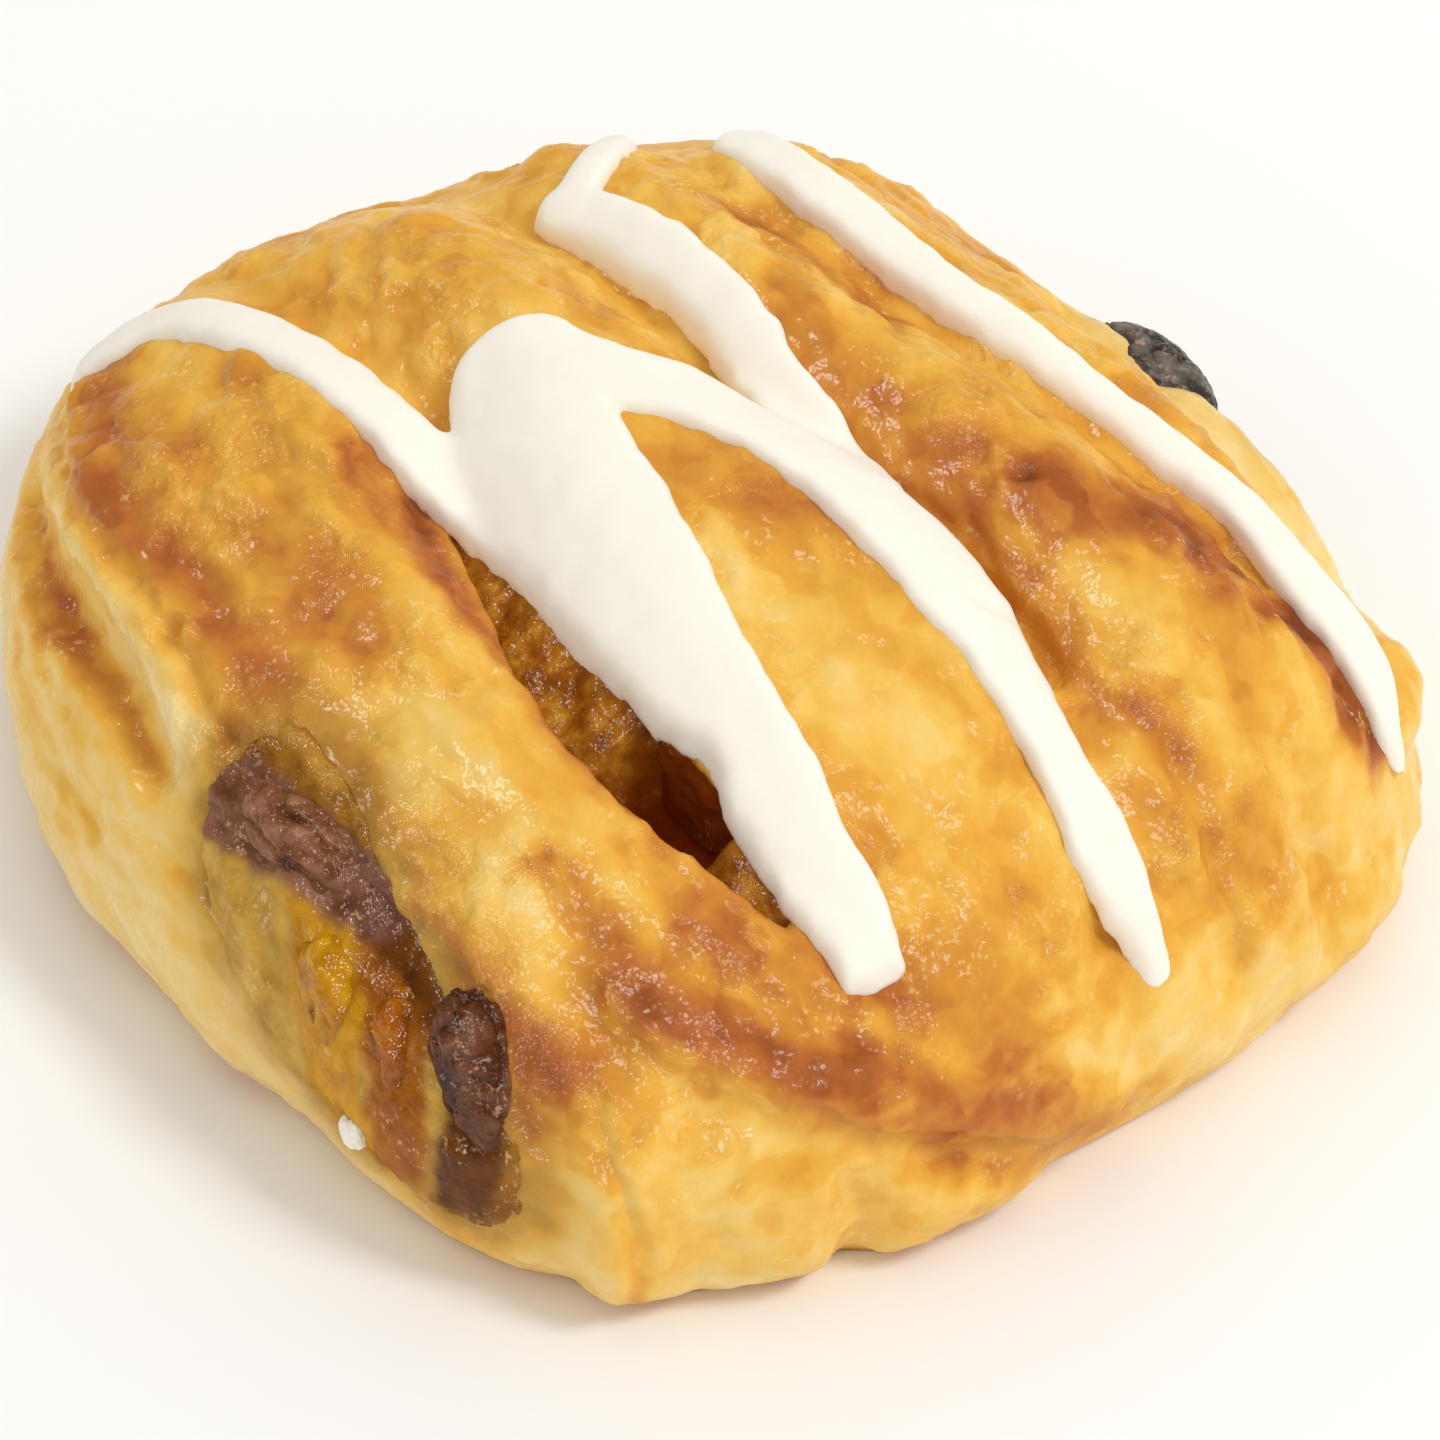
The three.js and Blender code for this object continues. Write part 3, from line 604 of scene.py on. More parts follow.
def crustRelief(points, normals, tree):
    x, y, z = points.T
    swellSize, swellHeight = crust["swell"]
    bumpSize, bumpHeight = crust["bumps"]
    clumpSize, clumpHeight = crust["clumps"]
    pimpleSize, pimpleHeight = crust["pimples"]
    plateSize, plateHeight = crust["plates"]
    scrapSize, scrapHeight = crust["scraps"]
    layerGap, layerDepth = crust["layers"]

    # flakes lie along the strips; the faces and the foot are smoother
    onTop = 0.3 + 0.7 * smoothStep(14, 22, z) * smoothStep(0.1, 0.5, normals[:, 2])
    plate, plateTone = platesAt(points, plateSize, 4, (1.5, 0.9, 1))
    scrap, scrapTone = platesAt(points, scrapSize, 9, (1.4, 0.8, 1))
    some = smoothStep(-0.35, 0.25, noiseAt(points, 16, 5, 2))
    few = smoothStep(-0.1, 0.35, noiseAt(points, 9, 6, 2))
    lift = bumpHeight * noiseAt(points, bumpSize, 2, 3, (1.4, 1, 1))
    lift += clumpHeight * noiseAt(points, clumpSize, 10, 3, (1.3, 1, 1)) * (0.5 + 0.5 * few)
    lift += plateHeight * plate * onTop * (0.35 + 0.65 * some)
    lift += scrapHeight * scrap * onTop * few
    wrinkleSize, wrinkleDepth = crust["wrinkles"]
    ridges = np.maximum(0, 1 - 4 * np.abs(noiseAt(points, wrinkleSize, 19, 2, (2.8, 0.8, 1))))
    lift -= wrinkleDepth * ridges * onTop * smoothStep(-0.3, 0.2, noiseAt(points, 13, 18))
    relief = lift + swellHeight * noiseAt(points, swellSize, 1, 2)
    relief += pimpleHeight * noiseAt(points, pimpleSize, 3, 2)

    # layers of the dough in the cut faces, less on the folded sides
    cutFace = smoothStep(0.35, 0.8, np.abs(normals[:, 1])) * smoothStep(30, 40, np.abs(y))
    foldedSide = smoothStep(0.5, 0.9, np.abs(normals[:, 0])) * 0.4
    low = 1 - smoothStep(21, 25, z)
    level = (z + 3.2 * noiseAt(points, 17, 7, 2)) / layerGap
    layers = (np.abs(np.sin(np.pi * level)) - 0.65) * (0.5 + 0.8 * noiseAt(points, 8, 8))
    relief += layerDepth * layers * low * np.maximum(cutFace, foldedSide)

    for line in crustEdges:
        relief += ledge(points, line, tree, *crust["lip"])
    for bx, by, bz, radius, height in blisters:
        far = np.linalg.norm(points - (bx, by, bz), axis=1) / radius
        relief += height * np.maximum(0, 1 - far ** 2) ** 1.5
    wander = 1 + 0.5 * noiseAt(points, 3, 32, 2)
    for line, reach, depth in creases:
        distance, share, _ = nearLine(onSkin(smoothLine(line, 4), tree), points, reach * 1.5)
        fade = np.minimum(1, 5 * np.minimum(share, 1 - share) + 0.1)
        relief -= depth * fade * np.maximum(0, 1 - distance * wander / reach) ** 1.3
    tone = (0.6 * plateTone + 0.4 * scrapTone * few) * onTop
    return relief, lift, tone, few * onTop


# how brown the crust is, from 0 (pale dough) to 1 (dark), with painted light and shade in it too

bake = {
    "level": 0.43,
    "mottle": (11, 0.09),    # size in mm and strength
    "speckle": (3.2, 0.04),
    "flakes": 0.09,          # each flake has a tone of its own
    "reliefLightShade": 0.16,          # raised flakes painted lighter and hollows darker: painted light and shade on the relief
    "sides": 0.14,           # the sides and the cut faces stayed paler
    "faces": 0.12,
    "base": (7, 0.56, 0.1),  # size in mm, level and strength of the even bake from the tray
    "walls": (2.2, 0.7, 0.14),  # the same for cut walls, soaked with syrup
}

# Places that the oven browned more, or less, and places darkened as painted shade: points of x, y, z, then
# reach and amount
browningAndShade = [
    # back corner of the first strip, and its shoulder
    ([(-40, -26, 21), (-36.2, -28.8, 22.7), (-30.4, -29.7, 24.7), (-24, -30, 26)], 6.5, 0.28),
    ([(-30, -33, 23.5), (-22, -34.2, 25), (-12, -34.2, 26.4), (-2, -34, 27), (4, -34, 26.8)], 4.6, 0.28),
    # middle of the first strip
    ([(-12, -28, 28.6), (-4.7, -28.6, 28.6), (2, -28.5, 29)], 7, 0.2),
    ([(-27, -22, 29.5), (-18, -20.5, 30.6), (-8, -19.5, 31)], 4, 0.12),
    # seam at the end of the first strip, then the flap over the side
    ([(27, -27.4, 28), (29.2, -27.1, 27.4), (32.5, -27.1, 26.3), (36.1, -26.8, 24.9)], 2.8, 0.36),
    ([(34.8, -26.8, 25.3), (39.3, -25.5, 23.2)], 4.4, 0.4),
    ([(37, -26, 24.2), (42.4, -23, 21.9), (46, -19, 19.6), (48.6, -15.6, 17.4), (50.8, -10.8, 14.8),
      (51.6, -4.6, 10.8), (52.4, 1.3, 7), (51.5, 6, 5)], 6.4, 0.36),
    ([(38, -20, 27), (42, -14, 25.4), (46.6, -7.2, 21.4), (49.6, -3, 15.6)], 8, 0.26),
    ([(47.9, -15.2, 19.2), (50.2, -10.8, 15.9), (51, -4.6, 11.6), (52.3, 1.3, 7.9)], 6.5, 0.34),
    # the upright corner, and round the crust's edge over the mouth: painted shade in the corner's crease and
    # under the edge
    ([(40.5, -31, 19.5), (43.4, -31.3, 15.5), (44.9, -31.3, 12.6), (45.2, -31, 8), (44.8, -30.8, 2)],
     1.3, 0.24),
    ([(2.3, -38.2, 23.8), (7.9, -36.6, 25), (15.8, -36, 25), (25.1, -36, 23.6), (30.9, -35, 22.4),
      (36, -34, 20.3), (38.6, -36, 13)], 3.4, 0.34),
    # painted shade above the upper raisin
    ([(4, -37.6, 25), (8, -36.4, 26), (12, -35.6, 26.6)], 3.6, 0.44),
    ([(44, 2, 23), (48, 5, 18), (51, 6, 12)], 5, 0.08),
    ([(42, 16, 22), (45, 21, 18), (47, 25, 13)], 8, 0.1),
    # foot of the second lobe, and the face beside the filling
    ([(52.4, -10, 8), (53, -4, 6), (51, 4, 5)], 5, 0.04),
    ([(38, -34.5, 20), (38.6, -36.4, 14), (38.6, -37, 9), (35, -40, 5)], 6, 0.32),
    ([(8, 16, 33), (2, 15, 33), (-4, 14, 33), (-10, 14, 33)], 5.5, 0.24),
    # crest of the third strip
    ([(8, 19, 32), (12, 22, 31.6), (17, 23.5, 31)], 6, 0.08),
    ([(16, 22, 31.6), (18.6, 24, 31), (20.6, 27.3, 29.8), (20.4, 31, 28.4), (25.5, 30.7, 27.7)], 7, 0.34),
    # upper edge of the second strip, beside the icing
    ([(-1, -4, 34), (4.3, -1.2, 33.9), (7.4, 2, 33.9), (11, 4.8, 33.6), (15, 5.7, 33.4), (22, 6.6, 32.5)],
     4, 0.13),
    # furrows: darker as painted shade where the crust runs down into them and into the slashes
    ([(-24, 19.5, 30.5), (-19.1, 21.5, 31), (-13.6, 23.3, 31), (-7.9, 23.3, 31.4)], 4.2, 0.26),
    ([(25.5, 32.4, 26.8), (29.1, 34, 24.8), (32.1, 34.6, 22.5), (35.7, 35, 20.3), (38.5, 35.6, 17.4)],
     4.2, 0.44),
    ([(-41.1, -15, 25.4), (-33.7, -13, 29.2), (-28.2, -10.1, 31.2), (-22.9, -8, 32.4)], 4, 0.06),
    ([(-8, -18, 29), (2, -20, 28.6), (12, -20.4, 28), (22, -20.2, 27.6), (32, -17.8, 26.4), (42, -12.6, 24)],
     3, 0.3),
    ([(3, 11.5, 31), (10, 14.5, 30), (18, 15.3, 29.5), (26, 15, 28.6), (34, 13.2, 27)], 4, 0.22),
    ([(-44, 20, 20), (-40, 26, 19), (-30, 34, 18)], 8, 0.14),
    # streaks and creases that run down the right side, darker in them as painted shade
    ([(34.3, 16.8, 28.2), (38.7, 17.9, 25.3), (43.2, 18.1, 21.5), (46.2, 17.7, 18), (48, 17.9, 13)],
     2.6, 0.24),
    ([(36.3, 25.4, 25.4), (41.9, 24.6, 21.4), (45, 27, 15)], 2.4, 0.12),
    ([(44, 7.6, 23), (47.6, 7.4, 18.3), (49.6, 7.9, 13.7)], 2.2, 0.1),
    # groove in the left of the front face, darker in it as painted shade
    ([(-32, -36, 17.2), (-23, -39.6, 18.5), (-13.6, -40.8, 19.4), (-4, -41.8, 19.6)], 2.4, 0.24),
    ([(-34, -34, 14), (-26, -39.6, 13), (-16, -43, 13)], 3, 0.1),
    # paler places
    ([(45, -27, 16), (47.4, -25.5, 11), (47.4, -26, 3)], 6, -0.04),
    ([(44.4, -27.6, 17.6), (47.4, -23.4, 16.4)], 3, -0.1),
    ([(37, 41, 18), (33, 43.5, 15)], 7, -0.02),
    ([(-12, 45, 20), (0, 43, 23), (12, 43.5, 21), (22, 44, 18)], 5.5, -0.26),
    ([(-29, -35.2, 20.4), (-22.1, -37.4, 21.8), (-11.7, -38.5, 22.8), (-1, -39.3, 22.6)], 3, -0.2),
    ([(10, -29, 28.6), (18, -29.5, 27.6), (26, -30.4, 26.4), (32, -31, 24.5)], 6, -0.12),
    ([(14, -5, 33), (24, -3, 32), (33, 0, 30)], 7, -0.14),
    ([(24, 20, 30), (30, 21, 28)], 6, -0.1),
]


def brownness(points, normals, lift, flakeTone, tree):
    _, y, z = points.T
    mottleSize, mottleStrength = bake["mottle"]
    speckleSize, speckleStrength = bake["speckle"]
    warp = noiseAt(points, 3.4, 21, 2)
    brown = bake["level"] + mottleStrength * noiseAt(points, mottleSize, 22, 3, (1.6, 1, 1))
    brown += speckleStrength * noiseAt(points, speckleSize, 23, 2, (1.8, 0.9, 1))
    # painted light on the raised flakes and painted shade in the hollows
    brown += bake["flakes"] * flakeTone - bake["reliefLightShade"] * np.clip(lift, -0.6, 0.6)
    # paler towards the foot
    side = 1 - smoothStep(0.15, 0.75, normals[:, 2])
    brown -= bake["sides"] * side * (1 - smoothStep(14, 26, z))
    face = smoothStep(0.45, 0.85, np.abs(normals[:, 1])) * smoothStep(28, 38, np.abs(y))
    brown -= bake["faces"] * face * (1 - smoothStep(20, 25, z))
    darker = np.zeros(len(points))
    paler = np.zeros(len(points))
    for line, reach, amount in browningAndShade:
        distance, _, _ = nearLine(onSkin(smoothLine(line, 4), tree), points, reach * 1.4)
        patch = amount * (1 - np.minimum(distance * (1 + 0.35 * warp) / reach, 1) ** 2) ** 2
        darker = np.maximum(darker, patch)
        paler = np.minimum(paler, patch)
    brown += darker + paler
    size, level, strength = bake["base"]
    under = smoothStep(0.5, 0.9, -normals[:, 2])
    brown = brown * (1 - under) + (level + strength * noiseAt(points, size, 24, 3)) * under
    return np.clip(brown, 0, 1)


def besideSlash(points, margin, which=slashes):
    # 1 in the slashes and within `margin` of them, seen from above
    inside = np.zeros(len(points))
    for furrow, start, end, half, _ in which:
        line = furrowLines[furrow]
        last = len(line) - 1
        part = line[int(start * last):int(end * last) + 2]
        distance, _, _ = nearLine(part, points[:, :2], half + margin + 1)
        inside = np.maximum(inside, 1 - smoothStep(half + margin - 0.6, half + margin + 0.6, distance))
    return inside


def inTunnel(points):
    # 1 on the walls of the filling's tunnel
    return 1 - smoothStep(1.1, 1.25, sectionReach(points)[0])


# The two mouths of the tunnel: station along Y, where the dough begins to be soaked and where it is wholly,
# and how much; then how far round a mouth that reaches, mm
mouths = ((-42, -28, -34, 1.15), (44, 36, 42, 0.6))
soakReach = 3.4


def mouthNearness(points):
    # how near the filling's section a point is: 1 within it, falling to 0 a few mm away from it
    near = np.zeros(len(points))
    for station, inner, outer, most in mouths:
        reach, u, w = sectionReach(points, station)
        beyond = np.hypot(u, w) * np.maximum(0, 1 - 1 / np.maximum(reach, 0.05))
        outside = smoothStep(inner, outer, points[:, 1])
        near = np.maximum(near, most * np.exp(-(beyond / soakReach) ** 2) * outside)
    return near


# Painted shade in the dough above the upper raisin and beside the lower one, where the crust's edge and the
# fruit shade it: points of x, y, z, then reach and amount
paintedShade = [
    ([(2, -38.4, 24.4), (6, -37, 25.2), (10, -36.2, 25.6), (14, -35.6, 25.8)], 5, 0.55),
    ([(35.5, -34.4, 20), (37.8, -35.2, 16.5), (38.8, -36.2, 12)], 3.6, 0.35),
]


def paintedShadeOf(points, tree):
    # how strong the painted shade is at each point
    most = np.zeros(len(points))
    for line, reach, amount in paintedShade:
        distance, _, _ = nearLine(onSkin(smoothLine(line, 4), tree), points, reach)
        most = np.maximum(most, amount * np.maximum(0, 1 - distance / reach) ** 1.2)
    return most


def buildPastry():
    thing = doughBody("pastry")
    cutWith(thing, [fillingTube("tunnelCutter", 0.35)] + [slashCutter(s) for s in slashes])
    evenMesh(thing, detail["crust"])
    points = readPoints(thing)
    rim = besideSlash(points, 2.2) * smoothStep(22, 24, points[:, 2])
    mouth = 1 - smoothStep(0.12, 0.3, np.abs(sectionReach(points)[0] - 1))
    mouth = mouth * smoothStep(32, 36, np.abs(points[:, 1]))
    points = relax(thing, points, 0.1 + 0.4 * np.maximum(rim, mouth), crust["rimSoftness"])
    writePoints(thing, points)
    normals = readNormals(thing)
    depth = depthInside(points)
    # the long slash lays the inside open; the walls of the shallow ones are baked like the crust
    cut = np.maximum(besideSlash(points, 1, slashes[:1]) * smoothStep(14, 16, points[:, 2]), inTunnel(points))
    skin = 1 - (1 - smoothStep(0.88, 0.96, depth)) * cut
    tree = pointTree(points)
    relief, lift, flakeTone, glint = crustRelief(points, normals, tree)
    # crumbly walls in the slashes
    walls = (1 - skin) * smoothStep(20, 24, points[:, 2])
    crumbs = 0.5 * noiseAt(points, 1.5, 11, 3)
    offBase = smoothStep(0.6, 2.5, points[:, 2])
    points = points + normals * ((relief * skin + crumbs * walls) * offBase)[:, None]
    points[:, 2] = np.maximum(points[:, 2], 0)
    points = relax(thing, points, 0.45 * skin * offBase, crust["settle"])
    writePoints(thing, points)
    normals = readNormals(thing)
    lift, flakeTone, glint = relax(thing, np.column_stack([lift * skin, flakeTone, glint]), 0.5, 4).T
    brown = brownness(points, normals, lift, flakeTone, tree)
    size, level, strength = bake["walls"]
    wallTone = level + strength * noiseAt(points, size, 25, 2)
    writeValue(thing, "brown", brown * skin + wallTone * (1 - skin))
    soaked = mouthNearness(points) * (1 + 0.4 * noiseAt(points, 4, 26, 2))
    writeValue(thing, "soaked", np.clip(soaked, 0, 1))
    low, high = filling["hole"]
    byHole = smoothStep(low - 5, low + 1, points[:, 0]) * (1 - smoothStep(high - 1, high + 2, points[:, 0]))
    # syrup in the cut walls, and the painted shade listed above, in one value
    writeValue(thing, "syrupAndShade", np.maximum((1 - skin) * (0.35 + 0.65 * byHole), paintedShadeOf(points, tree)))
    writeValue(thing, "glint", glint + 0.6 * walls)
    hidden = ((depth < 0.8) & (points[:, 2] < 20) & (np.abs(points[:, 1]) < 40)) | (points[:, 2] < 0.4)
    thinOut(thing, detail["mostTriangles"], hidden)
    smoothShade(thing)
    return thing, tree


print("pastry")
pastry, skinTree = buildPastry()


# filling: diced apple in brown syrup

def nearZone(points, lines):
    # 1 on the lines of a zone and 0 beyond their reach, with a wandering edge
    wander = 1 + 0.4 * noiseAt(points, 3.2, 14, 2)
    inside = np.zeros(len(points))
    for line, reach in lines:
        distance, _, _ = nearLine(smoothLine(line, 4), points, reach * 1.6)
        inside = np.maximum(inside, 1 - smoothStep(0.6, 1, distance * wander / reach))
    return inside


def buildFilling():
    thing = fillingTube("filling", 0.2, mouthGrow=1.6)
    cutWith(thing, [doughBody("trim", filling["inset"], 180, (48, 28, 12, 7))], "INTERSECT")
    evenMesh(thing, detail["filling"])
    points = readPoints(thing)
    normals = readNormals(thing)
    x, y, z = points.T
    # syrup and crumb well up in the long slash, except in its deep hole, and rise to its far rim
    distance, _, foot = nearLine(furrowLines[0], points[:, :2], 9)
    aside = (y - foot[:, 1]) * (distance < 9)
    low, high = filling["hole"]
    hole = smoothStep(low - 1.5, low + 1, x) * (1 - smoothStep(high - 1, high + 1.5, x))
    along = smoothStep(-14, -9, x) * (1 - smoothStep(42, 45, x))
    nearRim, farRim = filling["slashLift"]
    rim = nearRim + (farRim - nearRim) * smoothStep(-3.5, 3.5, aside) + 2 * smoothStep(29, 34, x)
    across = 1 - smoothStep(4.5, 8, distance)
    upward = smoothStep(0.1, 0.5, normals[:, 2])
    welled = (1 - hole) * along * across * upward
    pit = hole * (1 - smoothStep(1.5, 5, distance)) * upward
    # in the front face it swells out, runs level into the dough at its rim, and dips under that
    ends = smoothStep(0.3, 0.8, np.abs(normals[:, 1])) * smoothStep(30, 36, np.abs(y))
    reach, u, w = sectionReach(points)
    beyond = np.hypot(u, w) * (1 - 1 / np.maximum(reach, 0.05))
    nearEdge = smoothStep(-4, -0.5, beyond)
    face = np.flatnonzero((ends > 0.01) & (y < 0))
    swell = -filling["rearRecess"] * ends
    swell[face] = filling["inset"] + filling["bulge"] * np.maximum(0, 1 - reach[face] ** 2)
    swell[face] += nearEdge[face] * crustRelief(points[face], normals[face], skinTree)[0]
    dip = filling["dip"] * smoothStep(0.8, 2, beyond[face])
    swell[face] -= filling["recess"] * smoothStep(-1, 2, w[face]) + dip
    swell[face] *= ends[face]
    zones = {name: nearZone(points, lines) * ends for name, lines in fillingZones.items()}
    lumpSize, lumpHeight = filling["lumps"]
    crumbSize, crumbHeight = filling["crumbs"]
    lumps = noiseAt(points, lumpSize, 12, 2)
    crumbs = noiseAt(points, crumbSize, 13, 3)
    crumbly = np.maximum(np.maximum(welled, 0.9 * zones["plum"]), 0.35 * ends)
    out = swell + lumpHeight * lumps * ends * (1 - nearEdge) + crumbHeight * crumbs * crumbly
    points = points + normals * out[:, None]
    points[:, 2] += rim * welled - filling["holeDepth"] * pit
    writePoints(thing, points)
    writeValue(thing, "lump", 0.5 + 0.5 * lumps)
    writeValue(thing, "deep", hole * np.exp(-(distance / 6) ** 2))
    writeValue(thing, "crumb", welled)
    writeValue(thing, "soakedDough", ends)
    for name, inside in zones.items():
        writeValue(thing, name, inside)
    hidden = (np.abs(points[:, 1]) < 36) & ((distance > 6) | (normals[:, 2] < 0.2))
    thinOut(thing, detail["mostTriangles"] // 2, hidden)
    smoothShade(thing)
    return thing


print("filling")
fillingPiece = buildFilling()


# raisins and apple dice in the cut faces

raisins = {
    # middle, half sizes, turn about Z and tilt about Y in degrees, all as in the solids
    "raisin_upper": ((12, -37, 21.2), (8, 3.9, 3.7), 12, -2),
    "raisin_lower": ((33.8, -35.9, 16.4), (3.6, 3.8, 7.3), 8, -26),
    "raisin_rear": ((-3, 42.6, 15.8), (6.9, 3.9, 4.1), 6, 4),
}
appleDice = {
    "apple_amber": ((22.4, -39.5, 14.4), (3.5, 3.8, 6.9), 0, -27),
    "apple_brown": ((28.2, -38, 14.8), (2.6, 3.6, 6.3), 0, -27),
    "apple_rear": ((-15, 40.6, 11.2), (5.2, 3.4, 3.9), -6, -10),
}
fruit = {
    # how square, depth of the wrinkles as a share of the size, and spacing of the creases in mm
    "raisin": (2.2, 0.055, 3.2),
    "dice": (3.2, 0.06, 3.6),
    "drop": (2.4, 0.16, 1.6),
    "icingDrop": ((27.2, -43.2, 9.3), (1.1, 0.9, 1.25), 0, -30),  # fell on the foot of the front filling
}


def fruitPiece(name, spec, square, wrinkle, creaseSize, seed):
    (cx, cy, cz), half, turn, tilt = spec
    around, rows = 120, 76
    theta = np.repeat(np.linspace(0, np.pi, rows + 2)[1:-1], around)
    phi = np.tile(np.arange(around) * 2 * np.pi / around, rows)
    ball = np.column_stack([np.sin(theta) * np.cos(phi), np.sin(theta) * np.sin(phi), np.cos(theta)])
    ball = np.vstack([ball, [[0, 0, 1], [0, 0, -1]]])
    block = (np.abs(ball) ** square).sum(1) ** (-1 / square)
    points = ball * block[:, None] * np.array(half)
    # wrinkles: folds along the fruit, with sharp creases where the noise crosses zero
    stretch = [1, 1, 1]
    stretch[int(np.argmax(half))] = 1.9
    soft = noiseAt(points, creaseSize * 1.7, seed, 2, stretch)
    crease = np.maximum(0, 1 - np.abs(noiseAt(points, creaseSize, seed + 3, 2, stretch)) / 0.2)
    small = np.maximum(0, 1 - np.abs(noiseAt(points, creaseSize * 0.45, seed + 7, 2, stretch)) / 0.25)
    fine = noiseAt(points, 0.8, seed + 5, 3)
    scale = 1 + wrinkle * (1.2 * soft - 1.2 * crease - 0.5 * small + 0.35 * fine + 0.3)
    points = points * scale[:, None]
    a = math.radians(tilt)
    b = math.radians(turn)
    x, y, z = points.T
    x, z = x * math.cos(a) + z * math.sin(a), z * math.cos(a) - x * math.sin(a)
    x, y = x * math.cos(b) - y * math.sin(b), x * math.sin(b) + y * math.cos(b)
    thing = makeObject(name, np.column_stack([x + cx, y + cy, z + cz]), tubeFaces(rows, around))
    # lighter on the folds, darker in the creases: the raisins take it as painted highlight and shade
    writeValue(thing, "fold", 1 - 0.5 * crease - 0.25 * small)
    smoothShade(thing)
    return thing


print("raisins and apple")
raisinPieces = {}
for seed, (node, spec) in enumerate(raisins.items(), 40):
    raisinPieces[node] = fruitPiece(node + "_fruit", spec, *fruit["raisin"], seed)
applePieces = {}
for seed, (node, spec) in enumerate(appleDice.items(), 60):
    applePieces[node] = fruitPiece(node + "_dice", spec, *fruit["dice"], seed)


# icing

icing = {
    "rise": 1.15,      # height of a stroke over the crust
    "shoulder": 1.2,   # how far in from its edge a stroke is full height
    "spread": 0.35,    # added to every half width below
    "under": 1.4,      # how far it reaches below the levelled crust
    "mostOnSlope": 1.8,  # most times as thick, measured upright, on a slope
    "levelling": 0.9,  # how far the crust under it is smoothed out, mm
    "ripple": (2.4, 0.07),  # size and height of its own unevenness, mm
    "area": ((-52, 54), (-34, 45)),  # where it lies, from and to in x, then in y
    "wobble": 0.3,     # uneven edges, mm
    "blend": 0.14,     # how softly strokes run together
    "cell": 0.36,      # spacing of its first points, mm
    "follow": 0.8,     # share of a furrow's depth that it sinks to
    "bluntEnds": {1: 1.2},  # strokes that end square, and how far beyond their last point
    "dents": [(23.5, 11, 1.6, 0.45), (24.6, 12.4, 1.2, 0.3), (5, -8, 5, 0.2)],  # x, y, radius, depth
    # points of x, y and half width
    "strokes": [
        [(-42.5, -26, 1.8), (-39.6, -21.3, 2), (-32, -18.5, 2.1), (-21.5, -16.4, 2.2), (-12, -15, 2.6),
         (-5, -12.6, 3.6), (3, -10.5, 4.5)],
        [(-13.5, -6.3, 4.4), (-5, -8.9, 5.8), (5, -9.9, 5.5), (12, -10.2, 4.9), (19.5, -10.6, 3.8),
         (25, -10.1, 3), (30, -10.6, 3), (35, -10.9, 2.7), (40, -10.5, 2.5), (43.2, -10.6, 2.1)],
        [(-14, -4.5, 3.4), (-8, -0.9, 3), (-3.2, 3.6, 3.1), (4, 6.7, 3), (13, 9, 3.7), (22, 9.8, 3.7),
         (29, 9.6, 2.6), (36, 9.7, 2.1), (42.5, 9.4, 2.1), (45.6, 9.7, 1.5), (48.1, 10.2, 0.8)],
        [(-31, 8.4, 2.1), (-22, 10.4, 2.3), (-14, 10.9, 2.1), (-7, 10.6, 2), (0, 10.2, 2.1), (9, 10.4, 2.5)],
        [(-33, 25.4, 2.4), (-22, 25.5, 2.1), (-12.5, 27, 1.9), (-1, 29.4, 1.6), (8.8, 32.1, 1.4),
         (18, 35.6, 1.5), (26, 36.5, 2), (30.5, 37.5, 2.2), (34.4, 37.8, 1.9), (37.6, 37, 1)],
        [(-38.5, 17, 1.3), (-35.5, 14, 1.4), (-31, 8.6, 1.6)],
    ],
}


def blur(field, cells, rounds=3):
    kernel = np.ones(2 * cells + 1) / (2 * cells + 1)
    for _ in range(rounds):
        for axis in (0, 1):
            padded = np.pad(field, [(cells, cells) if a == axis else (0, 0) for a in (0, 1)], mode="edge")
            field = np.apply_along_axis(lambda line: np.convolve(line, kernel, "valid"), axis, padded)
    return field


def icingThickness(places, flat):
    # each stroke has a rounded edge of its own; a softened maximum leaves a slight groove where two meet
    wobble = icing["wobble"] * (noiseAt(flat, 5, 51, 2) + 0.7 * noiseAt(flat, 1.9, 52, 2))
    total = np.zeros(len(places))
    for number, stroke in enumerate(icing["strokes"]):
        line = smoothLine(stroke, 8)
        distance, _, foot = nearLine(line, places, 14)
        inside = np.maximum(foot[:, 2], 0.5) + icing["spread"] - distance + wobble
        if number in icing["bluntEnds"]:
            last = line[-1]
            along = (last - line[-5])[:2]
            along = along / np.linalg.norm(along)
            beyond = (places - last[:2]) @ along
            aside = np.abs((places - last[:2]) @ np.array([-along[1], along[0]]))
            square = np.minimum(last[2] + icing["spread"] - aside, icing["bluntEnds"][number] - beyond)
            inside = np.where(beyond > 0, square + wobble, inside)
        full = np.clip(inside / np.minimum(icing["shoulder"], 0.8 * np.maximum(foot[:, 2], 0.8)), 0, 1)
        thick = icing["rise"] * np.sqrt(1 - (1 - full) ** 2)
        thick = np.where(inside > 0, thick, inside * 5)
        total += np.exp(np.maximum(thick, -6) / icing["blend"])
    thick = icing["blend"] * np.log(total)
    thick += np.where(thick > 0, 0.12 * noiseAt(flat, 6, 53, 2), 0)
    for dx, dy, radius, depth in icing["dents"]:
        far = np.hypot(places[:, 0] - dx, places[:, 1] - dy) / radius
        thick -= depth * np.maximum(0, 1 - far ** 2) ** 1.5 * (thick > 0)
    return thick


